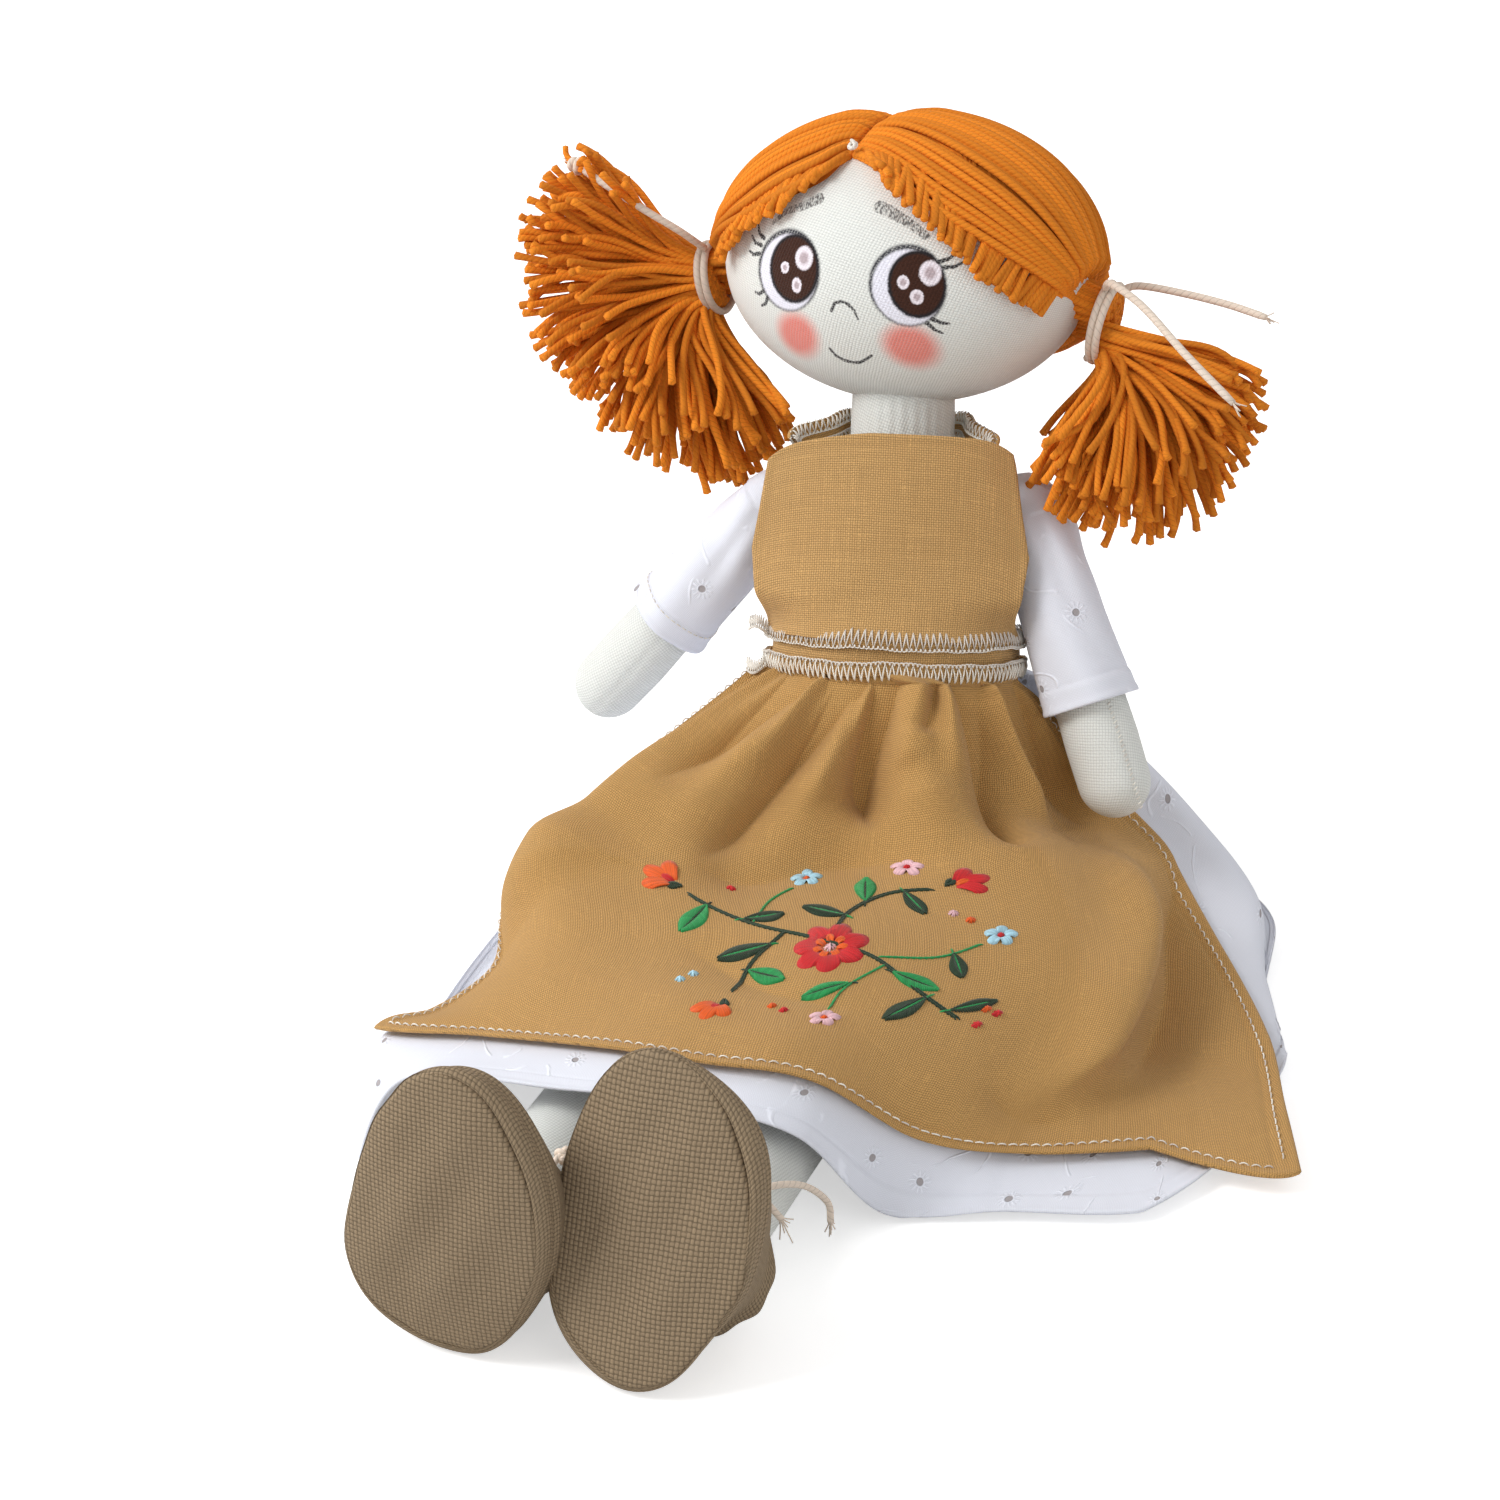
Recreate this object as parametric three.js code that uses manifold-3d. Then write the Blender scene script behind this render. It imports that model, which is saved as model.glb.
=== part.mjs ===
// A handmade cloth doll, sitting: stuffed cotton body, wool hair in two bunches, dress and linen apron.
// Millimetres, +Z up, the doll faces -Y and its left hand is at +X. The origin is on the floor at the seat.
import * as THREE from "three";
import { mergeVertices } from "three/addons/utils/BufferGeometryUtils.js";
import Module from "manifold-3d";

// Cloth and sewing allowances
const SKIN = 0.8;
const CLEAR = 0.4;
const DRESS_CLOTH = 0.9;
const APRON_CLOTH = 1.2;
const FLATTENED = 0.5;

// Upper body, measured along its own leaning axis from the seat
const LEAN_BACK = 19;
const LEAN_SIDE = -6.5;
const TORSO_TURN = 13;
const HEAD_LEAN_SIDE = -4;
const SEAT_SIDE = 7.6;
const SEAT_SHIFT = -3;
const BODY_BOTTOM = -14;
const WAIST_LOW = 76;
const WAIST_HIGH = 86;
const SHOULDER_HEIGHT = 119;
const NECK_PIVOT = 133;
const HEAD_CENTRE = 184;
const HIP_WIDTH = 64;
const WAIST_WIDTH = 60;
const SHOULDER_WIDTH = 43;
const NECK_WIDTH = 26;
const BODY_DEPTH_SHARE = 0.8;

// Head and hair
const HEAD_WIDTH = 100;
const HEAD_DEPTH = 76;
const HEAD_HEIGHT = 74;
const NECK_IN_HEAD = 11;
const HAIR_THICKNESS = 3.4;
const PARTING_OFFSET = -6;
const HAIR_TIE_CORD = 2;
const GATHER_LENGTH = 24;
const BUNCH_LENGTH = { left: 50, right: 46 };
const BUNCH_START = 0.4;

// Arms: the pivot's distance from the middle, the length to the fingertips and the resting directions
const SHOULDER_REACH = { left: 35, right: 33.3 };
const ARM_LENGTH = 84;
const ARM_WIDTH = 20;
const SLEEVE_LENGTH = 53;
const SLEEVE_SLACK = 1.6;
const SLEEVE_SEAM = 1.2;
const ARM_OUT = { left: 20, right: 41 };
const ARM_BACK = { left: -4, right: 20 };

// Legs: the hip hinge line and the way down to the soles
const HIP_FORWARD = -22;
const HIP_HEIGHT = 17;
const HIP_SPREAD = 19;
const THIGH_WIDTH = 30;
const ANKLE_WIDTH = 24;
const ANKLE_ROOM = 1;
const LEG_LENGTH = 158;
const FOOT_OVERLAP = 12;
const FEET_OUT = { left: 10.5, right: 1.6 };

// Shoes
const SHOE_LENGTH = 80;
const SHOE_WIDTH = 47;
const SHOE_DEPTH = 38;
const SHOE_CLOTH = 1.4;
const SOLE_THICKNESS = 2.4;
const TOE_BACK = { left: 20, right: -3 };
const TIE_CORD = 2.2;

// Apron and dress
const BIB_TOP = 139;
const BIB_HALF_WIDTH = 36.5;
const BIB_TOP_HALF_WIDTH = 29;
const STRAP_WIDTH = 8;
const SEAM_WIDTH = 3.6;
const SEAM_RAISE = 0.9;
const CLOTH_GAP = 1.5;
const BIB_FULLEST = 108;
const BIB_CURVE = 9;

// Half the size of a block or a plug that only cuts, large enough to pass right through
const CUTTER = 200;

// Facets round each form
const TORSO_FACETS = 18;
const HEAD_FACETS = 20;
const HEAD_ROWS = 10;
const ARM_FACETS = 12;
const LEG_FACETS = 12;
const SHOE_FACETS = 14;
const BAND_FACETS = 22;
const TIE_FACETS = 14;
const CORD_FACETS = 8;
const SKIRT_FACETS = { around: 30, down: 12 };
const APRON_FACETS = { across: 16, down: 10 };

const wasm = await Module();
wasm.setup();

const rad = THREE.MathUtils.degToRad;
const v3 = (x, y, z) => new THREE.Vector3(x, y, z);
const SIDES = [
  ["left", 1],
  ["right", -1],
];

// Solids

function toSolid(geometry) {
  const bare = geometry.clone();
  bare.deleteAttribute("normal");
  bare.deleteAttribute("uv");
  const merged = mergeVertices(bare, 1e-4);
  const mesh = new wasm.Mesh({
    numProp: 3,
    vertProperties: new Float32Array(merged.attributes.position.array),
    triVerts: new Uint32Array(merged.index.array),
  });
  return new wasm.Manifold(mesh);
}

function toGeometry(solid) {
  const mesh = solid.getMesh();
  const geometry = new THREE.BufferGeometry();
  geometry.setAttribute("position", new THREE.BufferAttribute(new Float32Array(mesh.vertProperties), 3));
  geometry.setIndex(new THREE.BufferAttribute(new Uint32Array(mesh.triVerts), 1));
  return geometry;
}

// The larger of the bodies that a cut leaves, so that crumbs at a thin edge are dropped.
function biggest(solid) {
  return solid.decompose().reduce((a, b) => (a.volume() > b.volume() ? a : b));
}

// A closed surface through rings of equally many points, with a fan at either end.
function loft(rings) {
  const count = rings[0].length;
  const points = [];
  const faces = [];
  rings.forEach((ring) => ring.forEach((p) => points.push(p.x, p.y, p.z)));
  for (let r = 0; r + 1 < rings.length; r++) {
    for (let k = 0; k < count; k++) {
      const a = r * count + k;
      const b = r * count + ((k + 1) % count);
      faces.push(a, b, a + count, b, b + count, a + count);
    }
  }
  [0, rings.length - 1].forEach((r) => {
    const middle = rings[r].reduce((sum, p) => sum.add(p), v3(0, 0, 0)).divideScalar(count);
    const centre = points.length / 3;
    points.push(middle.x, middle.y, middle.z);
    for (let k = 0; k < count; k++) {
      const a = r * count + k;
      const b = r * count + ((k + 1) % count);
      if (r === 0) faces.push(centre, b, a);
      else faces.push(centre, a, b);
    }
  });
  const geometry = new THREE.BufferGeometry();
  geometry.setAttribute("position", new THREE.Float32BufferAttribute(points, 3));
  geometry.setIndex(faces);
  return geometry;
}

function ellipseRing(halfWidth, halfDepth, height, count) {
  return Array.from({ length: count }, (_, k) => {
    const t = (2 * Math.PI * k) / count;
    return v3(halfWidth * Math.cos(t), halfDepth * Math.sin(t), height);
  });
}

// A smooth curve through (place, size) pairs.
function profile(pairs) {
  const curve = new THREE.CatmullRomCurve3(pairs.map(([at, size]) => v3(at, size, 0)), false, "centripetal");
  const samples = curve.getPoints(120);
  return (at) => {
    const after = samples.findIndex((p) => p.x >= at);
    if (after <= 0) return samples[after === 0 ? 0 : samples.length - 1].y;
    const a = samples[after - 1];
    const b = samples[after];
    return a.y + ((b.y - a.y) * (at - a.x)) / (b.x - a.x);
  };
}

function spread(from, to, steps) {
  return Array.from({ length: steps + 1 }, (_, k) => from + ((to - from) * k) / steps);
}

// A turned form whose ends are drawn in round, like a stuffed limb.
function limb(radiusAt, length, startRound, endRound, steps, count, offset = 0) {
  const from = startRound;
  const to = length - endRound;
  const rings = [];
  const push = (r, z) => rings.push(ellipseRing(r, r, z, count));
  spread(0, 1, 3).slice(0, -1).forEach((t) => {
    const angle = (Math.PI / 2) * (0.12 + 0.88 * t);
    const drop = startRound + offset;
    push((radiusAt(from) + offset) * Math.sin(angle), from - drop * Math.cos(angle));
  });
  spread(from, to, steps).forEach((z) => push(radiusAt(z) + offset, z));
  spread(0, 1, 3).slice(1).forEach((t) => {
    const angle = (Math.PI / 2) * 0.9 * t;
    push((radiusAt(to) + offset) * Math.cos(angle), to + (endRound + offset) * Math.sin(angle));
  });
  return loft(rings);
}

// Placing

const doll = new THREE.Group();
const upper = new THREE.Group();
upper.rotation.set(rad(-LEAN_BACK), rad(LEAN_SIDE), rad(TORSO_TURN), "YXZ");
upper.position.set(SEAT_SIDE, SEAT_SHIFT, 0);
doll.add(upper);
doll.updateMatrixWorld(true);
const upperWorld = upper.matrixWorld.clone();

function cloth(colour, roughness) {
  return new THREE.MeshStandardMaterial({ color: colour, roughness, metalness: 0 });
}

const COLOURS = {
  skin: ["#e8e6dc", 0.9],
  stuffing: ["#f4f2ec", 1],
  dress: ["#ebebf5", 0.85],
  linen: ["#c0935a", 0.9],
  hair: ["#d9781e", 0.8],
  twine: ["#cdbeaa", 0.9],
  thread: ["#d9d2c0", 0.8],
  burlap: ["#82704f", 0.95],
};

function add(parent, name, geometry, look) {
  const mesh = new THREE.Mesh(geometry, cloth(...COLOURS[look]));
  mesh.name = name;
  parent.add(mesh);
  return mesh;
}

function transformed(geometry, matrix) {
  return geometry.clone().applyMatrix4(matrix);
}

// Torso: a stuffed cotton bag, flat where it sits and hollowed in front for the tops of the legs

// Height along the body and half width there
const TORSO_PROFILE = [
  [BODY_BOTTOM, HIP_WIDTH / 2 - 1],
  [20, HIP_WIDTH / 2],
  [50, HIP_WIDTH / 2],
  [WAIST_LOW, WAIST_WIDTH / 2],
  [WAIST_HIGH, WAIST_WIDTH / 2 - 0.5],
  [100, (WAIST_WIDTH + SHOULDER_WIDTH) / 4 + 0.9],
  [SHOULDER_HEIGHT - 5, SHOULDER_WIDTH / 2 + 0.4],
  [SHOULDER_HEIGHT + 3, SHOULDER_WIDTH / 2 - 3.2],
  [NECK_PIVOT, NECK_WIDTH / 2 + 1.6],
];

function halfWidthAt(height) {
  const last = TORSO_PROFILE.length - 1;
  const k = TORSO_PROFILE.findIndex(([at]) => at > height);
  if (k < 0) return TORSO_PROFILE[last][1];
  if (k === 0) return TORSO_PROFILE[0][1];
  const [[from, a], [to, b]] = [TORSO_PROFILE[k - 1], TORSO_PROFILE[k]];
  return THREE.MathUtils.lerp(a, b, (height - from) / (to - from));
}

function depthAt(height) {
  const share = THREE.MathUtils.smoothstep(height, 95, NECK_PIVOT);
  return halfWidthAt(height) * THREE.MathUtils.lerp(BODY_DEPTH_SHARE, 1, share);
}

function torsoForm(offset, from = BODY_BOTTOM, to = NECK_PIVOT) {
  const levels = TORSO_PROFILE.map(([at]) => at).filter((at) => at > from && at < to);
  const rings = [from, ...levels, to].map((height) =>
    ellipseRing(halfWidthAt(height) + offset, depthAt(height) + offset, height, TORSO_FACETS),
  );
  return toSolid(loft(rings));
}

function hipHollow(offset) {
  const radius = THIGH_WIDTH / 2 + CLEAR + offset;
  const roller = new THREE.CylinderGeometry(radius, radius, 2 * HIP_WIDTH, 18);
  roller.rotateZ(Math.PI / 2);
  roller.translate(0, HIP_FORWARD, HIP_HEIGHT);
  const under = new THREE.BoxGeometry(2 * HIP_WIDTH, 2 * radius, CUTTER);
  under.translate(0, HIP_FORWARD, HIP_HEIGHT - CUTTER / 2);
  const toUpper = upperWorld.clone().invert();
  return toSolid(transformed(roller, toUpper)).add(toSolid(transformed(under, toUpper)));
}

function belowFloor(offset) {
  const slab = new THREE.BoxGeometry(2 * CUTTER, 2 * CUTTER, CUTTER);
  slab.translate(0, 0, offset - CUTTER / 2);
  return toSolid(transformed(slab, upperWorld.clone().invert()));
}

function neckRoom(radius) {
  const ball = new THREE.SphereGeometry(radius, 16, 10);
  ball.translate(0, 0, NECK_PIVOT);
  const lid = new THREE.CylinderGeometry(radius, radius, 20, 16);
  lid.rotateX(Math.PI / 2);
  lid.translate(0, 0, NECK_PIVOT + 10);
  return toSolid(ball).add(toSolid(lid));
}

const torsoOuter = torsoForm(0).subtract(hipHollow(0)).subtract(belowFloor(0));
const torsoInner = torsoForm(-SKIN, BODY_BOTTOM, NECK_PIVOT + 2)
  .subtract(hipHollow(SKIN))
  .subtract(belowFloor(SKIN));
const torsoFill = torsoForm(-SKIN - CLEAR, BODY_BOTTOM, NECK_PIVOT + 2)
  .subtract(hipHollow(SKIN + CLEAR))
  .subtract(belowFloor(SKIN + CLEAR))
  .subtract(neckRoom(NECK_WIDTH / 2 + 3 * CLEAR));
add(upper, "torso_skin", toGeometry(biggest(torsoOuter.subtract(torsoInner))), "skin");
add(upper, "torso_stuffing", toGeometry(biggest(torsoFill)), "stuffing");

// Neck: a stuffed stalk with a round foot that nods in the top of the torso

const neckTop = HEAD_CENTRE - HEAD_HEIGHT / 2 + NECK_IN_HEAD;
const neckForm = limb(() => NECK_WIDTH / 2, neckTop - NECK_PIVOT + NECK_WIDTH / 2, NECK_WIDTH / 2, 3, 2, 16);
neckForm.translate(0, 0, NECK_PIVOT - NECK_WIDTH / 2);
add(upper, "neck", neckForm, "skin");

// Head: a wide, flattened ball open below for the neck

const head = new THREE.Group();
const headAngles = new THREE.Euler(rad(-LEAN_BACK), rad(HEAD_LEAN_SIDE), 0, "YXZ");
const headFacing = new THREE.Quaternion().setFromEuler(headAngles);
const headTurn = upper.quaternion.clone().invert().multiply(headFacing);
head.quaternion.copy(headTurn);
head.position.z = HEAD_CENTRE;
upper.add(head);

function headBall(offset) {
  const ball = new THREE.SphereGeometry(1, HEAD_FACETS, HEAD_ROWS);
  ball.rotateX(Math.PI / 2);
  ball.scale(HEAD_WIDTH / 2 + offset, HEAD_DEPTH / 2 + offset, HEAD_HEIGHT / 2 + offset);
  return toSolid(ball);
}

function neckBore(radius, depth) {
  const bore = new THREE.CylinderGeometry(radius, radius, depth + 20, 20);
  bore.rotateX(Math.PI / 2);
  bore.translate(0, 0, -HEAD_HEIGHT / 2 + depth - (depth + 20) / 2);
  bore.applyQuaternion(headTurn.clone().invert());
  return toSolid(bore);
}

const neckHole = neckBore(NECK_WIDTH / 2 + CLEAR, NECK_IN_HEAD + CLEAR);
add(head, "head_skin", toGeometry(headBall(0).subtract(headBall(-SKIN)).subtract(neckHole)), "skin");
add(head, "head_stuffing", toGeometry(headBall(-SKIN - CLEAR).subtract(neckHole)), "stuffing");

// Hair: two caps of laid yarn that part over the brow and are drawn to a tie beside each cheek

const TIE_PLACES = {
  left: v3(HEAD_WIDTH / 2 + 5, 3, -12),
  right: v3(-HEAD_WIDTH / 2 - 6, 2, -8),
};
const TIE_RADIUS = { left: 9, right: 8 };
const BUNCH_AIM = { left: v3(0.68, -0.3, -0.68), right: v3(-0.68, -0.28, -0.68) };
const BUNCH_FAN = { left: 38, right: 66 };
const BUNCH_FLATNESS = { left: 0.62, right: 0.5 };

// The open face: the hair line as seen from the front, apex at the parting
function faceOpening() {
  const line = new THREE.Shape();
  line.moveTo(PARTING_OFFSET, 29);
  line.quadraticCurveTo(-24, 22, -36, 10);
  line.quadraticCurveTo(-44, 2, -70, -3);
  line.lineTo(-70, -70);
  line.lineTo(70, -70);
  line.lineTo(70, -10);
  line.quadraticCurveTo(44, -8, 32, 2);
  line.quadraticCurveTo(18, 8, 4, 22);
  line.closePath();
  const reach = HEAD_DEPTH / 2 + 20;
  const opening = new THREE.ExtrudeGeometry(line, { depth: reach, bevelEnabled: false, curveSegments: 6 });
  opening.rotateX(Math.PI / 2);
  return toSolid(opening);
}

function halfSpace(side, gap) {
  const box = new THREE.BoxGeometry(CUTTER, CUTTER, CUTTER);
  box.translate(PARTING_OFFSET + side * (CUTTER / 2 + gap), 0, 0);
  return toSolid(box);
}

// The frame whose +Z runs from the tie out along the bunch.
function bunchMatrix(name) {
  const along = BUNCH_AIM[name].clone().normalize();
  const back = v3(0, 1, 0).addScaledVector(along, -along.y).normalize();
  const across = new THREE.Vector3().crossVectors(back, along);
  return new THREE.Matrix4().makeBasis(across, back, along).setPosition(TIE_PLACES[name]);
}

function outward(name) {
  return TIE_PLACES[name].clone().normalize();
}

// A form turned about the line from the tie in towards the middle of the head.
function drawnIn(name, outline, count = 16) {
  const turned = new THREE.LatheGeometry(outline.map(([r, z]) => new THREE.Vector2(r, z)), count);
  turned.applyQuaternion(new THREE.Quaternion().setFromUnitVectors(v3(0, 1, 0), outward(name).negate()));
  return turned.translate(...TIE_PLACES[name].toArray());
}

function gather(name) {
  const radius = TIE_RADIUS[name];
  return toSolid(
    drawnIn(name, [
      [0, 0],
      [radius, 0],
      [radius, 2 * HAIR_TIE_CORD],
      [radius * 2.1, GATHER_LENGTH],
      [0, GATHER_LENGTH],
    ]),
  );
}

const hairInner = headBall(CLEAR);
const hairOuter = headBall(HAIR_THICKNESS + CLEAR);
SIDES.forEach(([name, side]) => {
  const shell = hairOuter.subtract(faceOpening()).add(gather(name));
  const cap = shell
    .subtract(hairInner)
    .subtract(neckBore(NECK_WIDTH / 2 + 6, NECK_IN_HEAD))
    .intersect(halfSpace(side, CLEAR / 2));
  add(head, "hair_cap_" + name, toGeometry(biggest(cap)), "hair");
});

SIDES.forEach(([name]) => {
  const length = BUNCH_LENGTH[name];
  const fan = rad(BUNCH_FAN[name]);
  const onArc = (reach, angle) => new THREE.Vector2(reach * Math.sin(angle), reach * Math.cos(angle));
  const outline = [
    new THREE.Vector2(0, 0),
    new THREE.Vector2(TIE_RADIUS[name], 0),
    onArc(0.45 * length, 0.86 * fan),
    onArc(0.8 * length, fan),
    onArc(length, 0.86 * fan),
    onArc(length, 0.6 * fan),
    onArc(length, 0.3 * fan),
    new THREE.Vector2(0, length),
  ];
  const tuft = new THREE.LatheGeometry(outline, 18);
  tuft.rotateX(Math.PI / 2);
  tuft.scale(1, BUNCH_FLATNESS[name], 1);
  tuft.translate(0, 0, CLEAR);
  const solid = toSolid(transformed(tuft, bunchMatrix(name)));
  const inside = new THREE.BoxGeometry(CUTTER, CUTTER, CUTTER);
  inside.applyQuaternion(new THREE.Quaternion().setFromUnitVectors(v3(0, 1, 0), outward(name)));
  const edge = TIE_PLACES[name].clone().addScaledVector(outward(name), BUNCH_START - CUTTER / 2);
  inside.translate(...edge.toArray());
  const trimmed = solid.subtract(toSolid(inside)).subtract(headBall(HAIR_THICKNESS + 2 * CLEAR));
  add(head, "bunch_" + name, toGeometry(biggest(trimmed)), "hair");
});

// Hair ties: a ring of twine on each gather and its loose ends, and a stitch that holds the parting

function ring(radius, cord) {
  return new THREE.TorusGeometry(radius, cord / 2, 6, TIE_FACETS);
}

SIDES.forEach(([name]) => {
  const turn = ring(TIE_RADIUS[name] + HAIR_TIE_CORD / 2 + CLEAR, HAIR_TIE_CORD);
  turn.applyQuaternion(new THREE.Quaternion().setFromUnitVectors(v3(0, 0, 1), outward(name)));
  turn.translate(...TIE_PLACES[name].clone().addScaledVector(outward(name), -HAIR_TIE_CORD / 2).toArray());
  add(head, "hair_tie_" + name, turn, "twine");
});

function cordAlong(points, cord, steps = 8) {
  const path = new THREE.CatmullRomCurve3(points, false, "centripetal");
  const section = new THREE.Shape();
  for (let k = 0; k < CORD_FACETS; k++) {
    const t = (2 * Math.PI * k) / CORD_FACETS;
    if (k === 0) section.moveTo((cord / 2) * Math.cos(t), (cord / 2) * Math.sin(t));
    else section.lineTo((cord / 2) * Math.cos(t), (cord / 2) * Math.sin(t));
  }
  section.closePath();
  return new THREE.ExtrudeGeometry(section, { steps, extrudePath: path, bevelEnabled: false, curveSegments: 1 });
}

const TIE_END_ROUTES = {
  tie_end_left_front: [[56.4, -4.1, -2.7], [61, -13, -1.5], [72, -20, -6.5], [87, -30, -17], [102, -35, -28]],
  tie_end_left_back: [[55.3, 11.4, -3.7], [60, 13, -2], [71, 14, -3], [84, 13, -5], [96, 9, -7.5]],
  tie_end_right: [[-56.3, -5.6, -0.4], [-61, -13, 4], [-70, -17, 9], [-82, -17, 15], [-93, -14, 20]],
};
for (const [name, route] of Object.entries(TIE_END_ROUTES)) {
  const points = route.map((place) => v3(...place));
  add(head, name, cordAlong(points, HAIR_TIE_CORD), "twine");
}

const stitchHeight = HEAD_HEIGHT / 2 - 10.8;
const stitchShare = 1 - (2 * PARTING_OFFSET / HEAD_WIDTH) ** 2 - (2 * stitchHeight / HEAD_HEIGHT) ** 2;
const stitch = new THREE.SphereGeometry(1.3, 8, 6);
stitch.translate(PARTING_OFFSET, -Math.sqrt(stitchShare) * (HEAD_DEPTH / 2) - 1.3, stitchHeight + 1);
add(head, "parting_stitch", stitch, "thread");

// Arms in sleeves

const armRadius = profile([
  [0, 0.43 * ARM_WIDTH],
  [0.3 * ARM_LENGTH, 0.46 * ARM_WIDTH],
  [0.75 * ARM_LENGTH, 0.52 * ARM_WIDTH],
  [ARM_LENGTH, 0.5 * ARM_WIDTH],
]);
const ARM_TOP = armRadius(0);

function armForm(offset) {
  const form = limb(armRadius, ARM_LENGTH + ARM_TOP, ARM_TOP, 0.5 * ARM_WIDTH, 3, ARM_FACETS, offset);
  form.translate(0, 0, -ARM_TOP);
  return toSolid(form);
}

function pull(radius, to) {
  const plug = new THREE.CylinderGeometry(radius, radius, 40, 12);
  plug.rotateX(Math.PI / 2);
  plug.translate(0, 0, to - 20);
  return toSolid(plug);
}

const sleeveEnd = new THREE.BoxGeometry(CUTTER, CUTTER, CUTTER);
sleeveEnd.translate(0, 0, SLEEVE_LENGTH + CUTTER / 2);

SIDES.forEach(([name, side]) => {
  const arm = new THREE.Group();
  arm.position.set(side * SHOULDER_REACH[name], 0, SHOULDER_HEIGHT);
  const out = rad(ARM_OUT[name]);
  const back = rad(ARM_BACK[name]);
  const aim = v3(side * Math.sin(out), Math.cos(out) * Math.sin(back), -Math.cos(out) * Math.cos(back));
  arm.quaternion.setFromUnitVectors(v3(0, 0, 1), aim);
  upper.add(arm);
  const opening = pull(0.6 * ARM_TOP, 0);
  const skin = armForm(0).subtract(armForm(-SKIN)).subtract(opening);
  add(arm, "arm_skin_" + name, toGeometry(skin), "skin");
  add(arm, "arm_stuffing_" + name, toGeometry(armForm(-SKIN - CLEAR)), "stuffing");
  const sleeveRoom = armForm(SLEEVE_SLACK).translate([0, 0, SLEEVE_SEAM]);
  const sleeve = armForm(SLEEVE_SLACK + DRESS_CLOTH).subtract(sleeveRoom).subtract(toSolid(sleeveEnd));
  add(arm, "sleeve_" + name, toGeometry(biggest(sleeve)), "dress");
});

// Bodice, bib and waistband, all wrapped round the torso

const bodiceOffset = CLEAR + DRESS_CLOTH;
const bodice = torsoForm(bodiceOffset, WAIST_LOW + CLEAR, NECK_PIVOT - 2).subtract(
  torsoForm(CLEAR, WAIST_LOW - 5, NECK_PIVOT + 3),
);
add(upper, "dress_bodice", toGeometry(bodice), "dress");

function band(low, high, inner, outer) {
  const rings = [
    [inner, low],
    [outer, low],
    [outer, high],
    [inner, high],
  ].map(([offset, height]) => {
    const at = Math.min(Math.max(height, WAIST_LOW), WAIST_HIGH);
    return ellipseRing(halfWidthAt(at) + offset, depthAt(at) + offset, height, BAND_FACETS);
  });
  rings.push(rings[0]);
  return rings;
}

// A ring-shaped solid whose section is closed on itself.
function hoop(rings) {
  const count = rings[0].length;
  const turns = rings.length - 1;
  const points = [];
  const faces = [];
  rings.slice(0, turns).forEach((r) => r.forEach((p) => points.push(p.x, p.y, p.z)));
  for (let r = 0; r < turns; r++) {
    for (let k = 0; k < count; k++) {
      const a = r * count + k;
      const b = r * count + ((k + 1) % count);
      const c = ((r + 1) % turns) * count + k;
      const d = ((r + 1) % turns) * count + ((k + 1) % count);
      faces.push(a, b, c, b, d, c);
    }
  }
  const geometry = new THREE.BufferGeometry();
  geometry.setAttribute("position", new THREE.Float32BufferAttribute(points, 3));
  geometry.setIndex(faces);
  return geometry;
}

const bandInner = bodiceOffset + CLEAR;
const bandOuter = bandInner + APRON_CLOTH;
add(upper, "apron_waistband", hoop(band(WAIST_LOW, WAIST_HIGH, bandInner, bandOuter)), "linen");
const seamInner = bandOuter + CLEAR;
[
  ["lower", WAIST_LOW + CLEAR],
  ["upper", WAIST_HIGH - SEAM_WIDTH + 1.2],
].forEach(([name, low]) => {
  const rings = band(low, low + SEAM_WIDTH, seamInner, seamInner + SEAM_RAISE);
  add(upper, "waist_seam_" + name, hoop(rings), "thread");
});

// A sheet solid between two surfaces given over the same grid of (u, v) in 0..1.
function sheet(outer, inner, across, down, closed = false) {
  const points = [];
  const faces = [];
  const columns = closed ? across : across + 1;
  const index = (layer, i, j) => (layer * columns + (closed ? i % across : i)) * (down + 1) + j;
  [outer, inner].forEach((surface) => {
    for (let i = 0; i < columns; i++) {
      for (let j = 0; j <= down; j++) points.push(...surface(i / across, j / down).toArray());
    }
  });
  const quad = (a, b, c, d) => faces.push(a, b, c, a, c, d);
  for (let i = 0; i < across; i++) {
    for (let j = 0; j < down; j++) {
      quad(index(0, i, j), index(0, i, j + 1), index(0, i + 1, j + 1), index(0, i + 1, j));
      quad(index(1, i, j), index(1, i + 1, j), index(1, i + 1, j + 1), index(1, i, j + 1));
    }
    quad(index(0, i, 0), index(0, i + 1, 0), index(1, i + 1, 0), index(1, i, 0));
    quad(index(0, i, down), index(1, i, down), index(1, i + 1, down), index(0, i + 1, down));
  }
  if (!closed) {
    for (let j = 0; j < down; j++) {
      quad(index(0, 0, j), index(1, 0, j), index(1, 0, j + 1), index(0, 0, j + 1));
      quad(index(0, across, j), index(0, across, j + 1), index(1, across, j + 1), index(1, across, j));
    }
  }
  const geometry = new THREE.BufferGeometry();
  geometry.setAttribute("position", new THREE.Float32BufferAttribute(points, 3));
  geometry.setIndex(faces);
  return geometry;
}

const bibHalfWidth = profile([
  [WAIST_HIGH, BIB_HALF_WIDTH - 4],
  [WAIST_HIGH + 10, BIB_HALF_WIDTH - 1.5],
  [BIB_FULLEST, BIB_HALF_WIDTH],
  [SHOULDER_HEIGHT, BIB_HALF_WIDTH - 2],
  [BIB_TOP - 7, BIB_HALF_WIDTH - 4],
  [BIB_TOP, BIB_TOP_HALF_WIDTH],
]);

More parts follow.
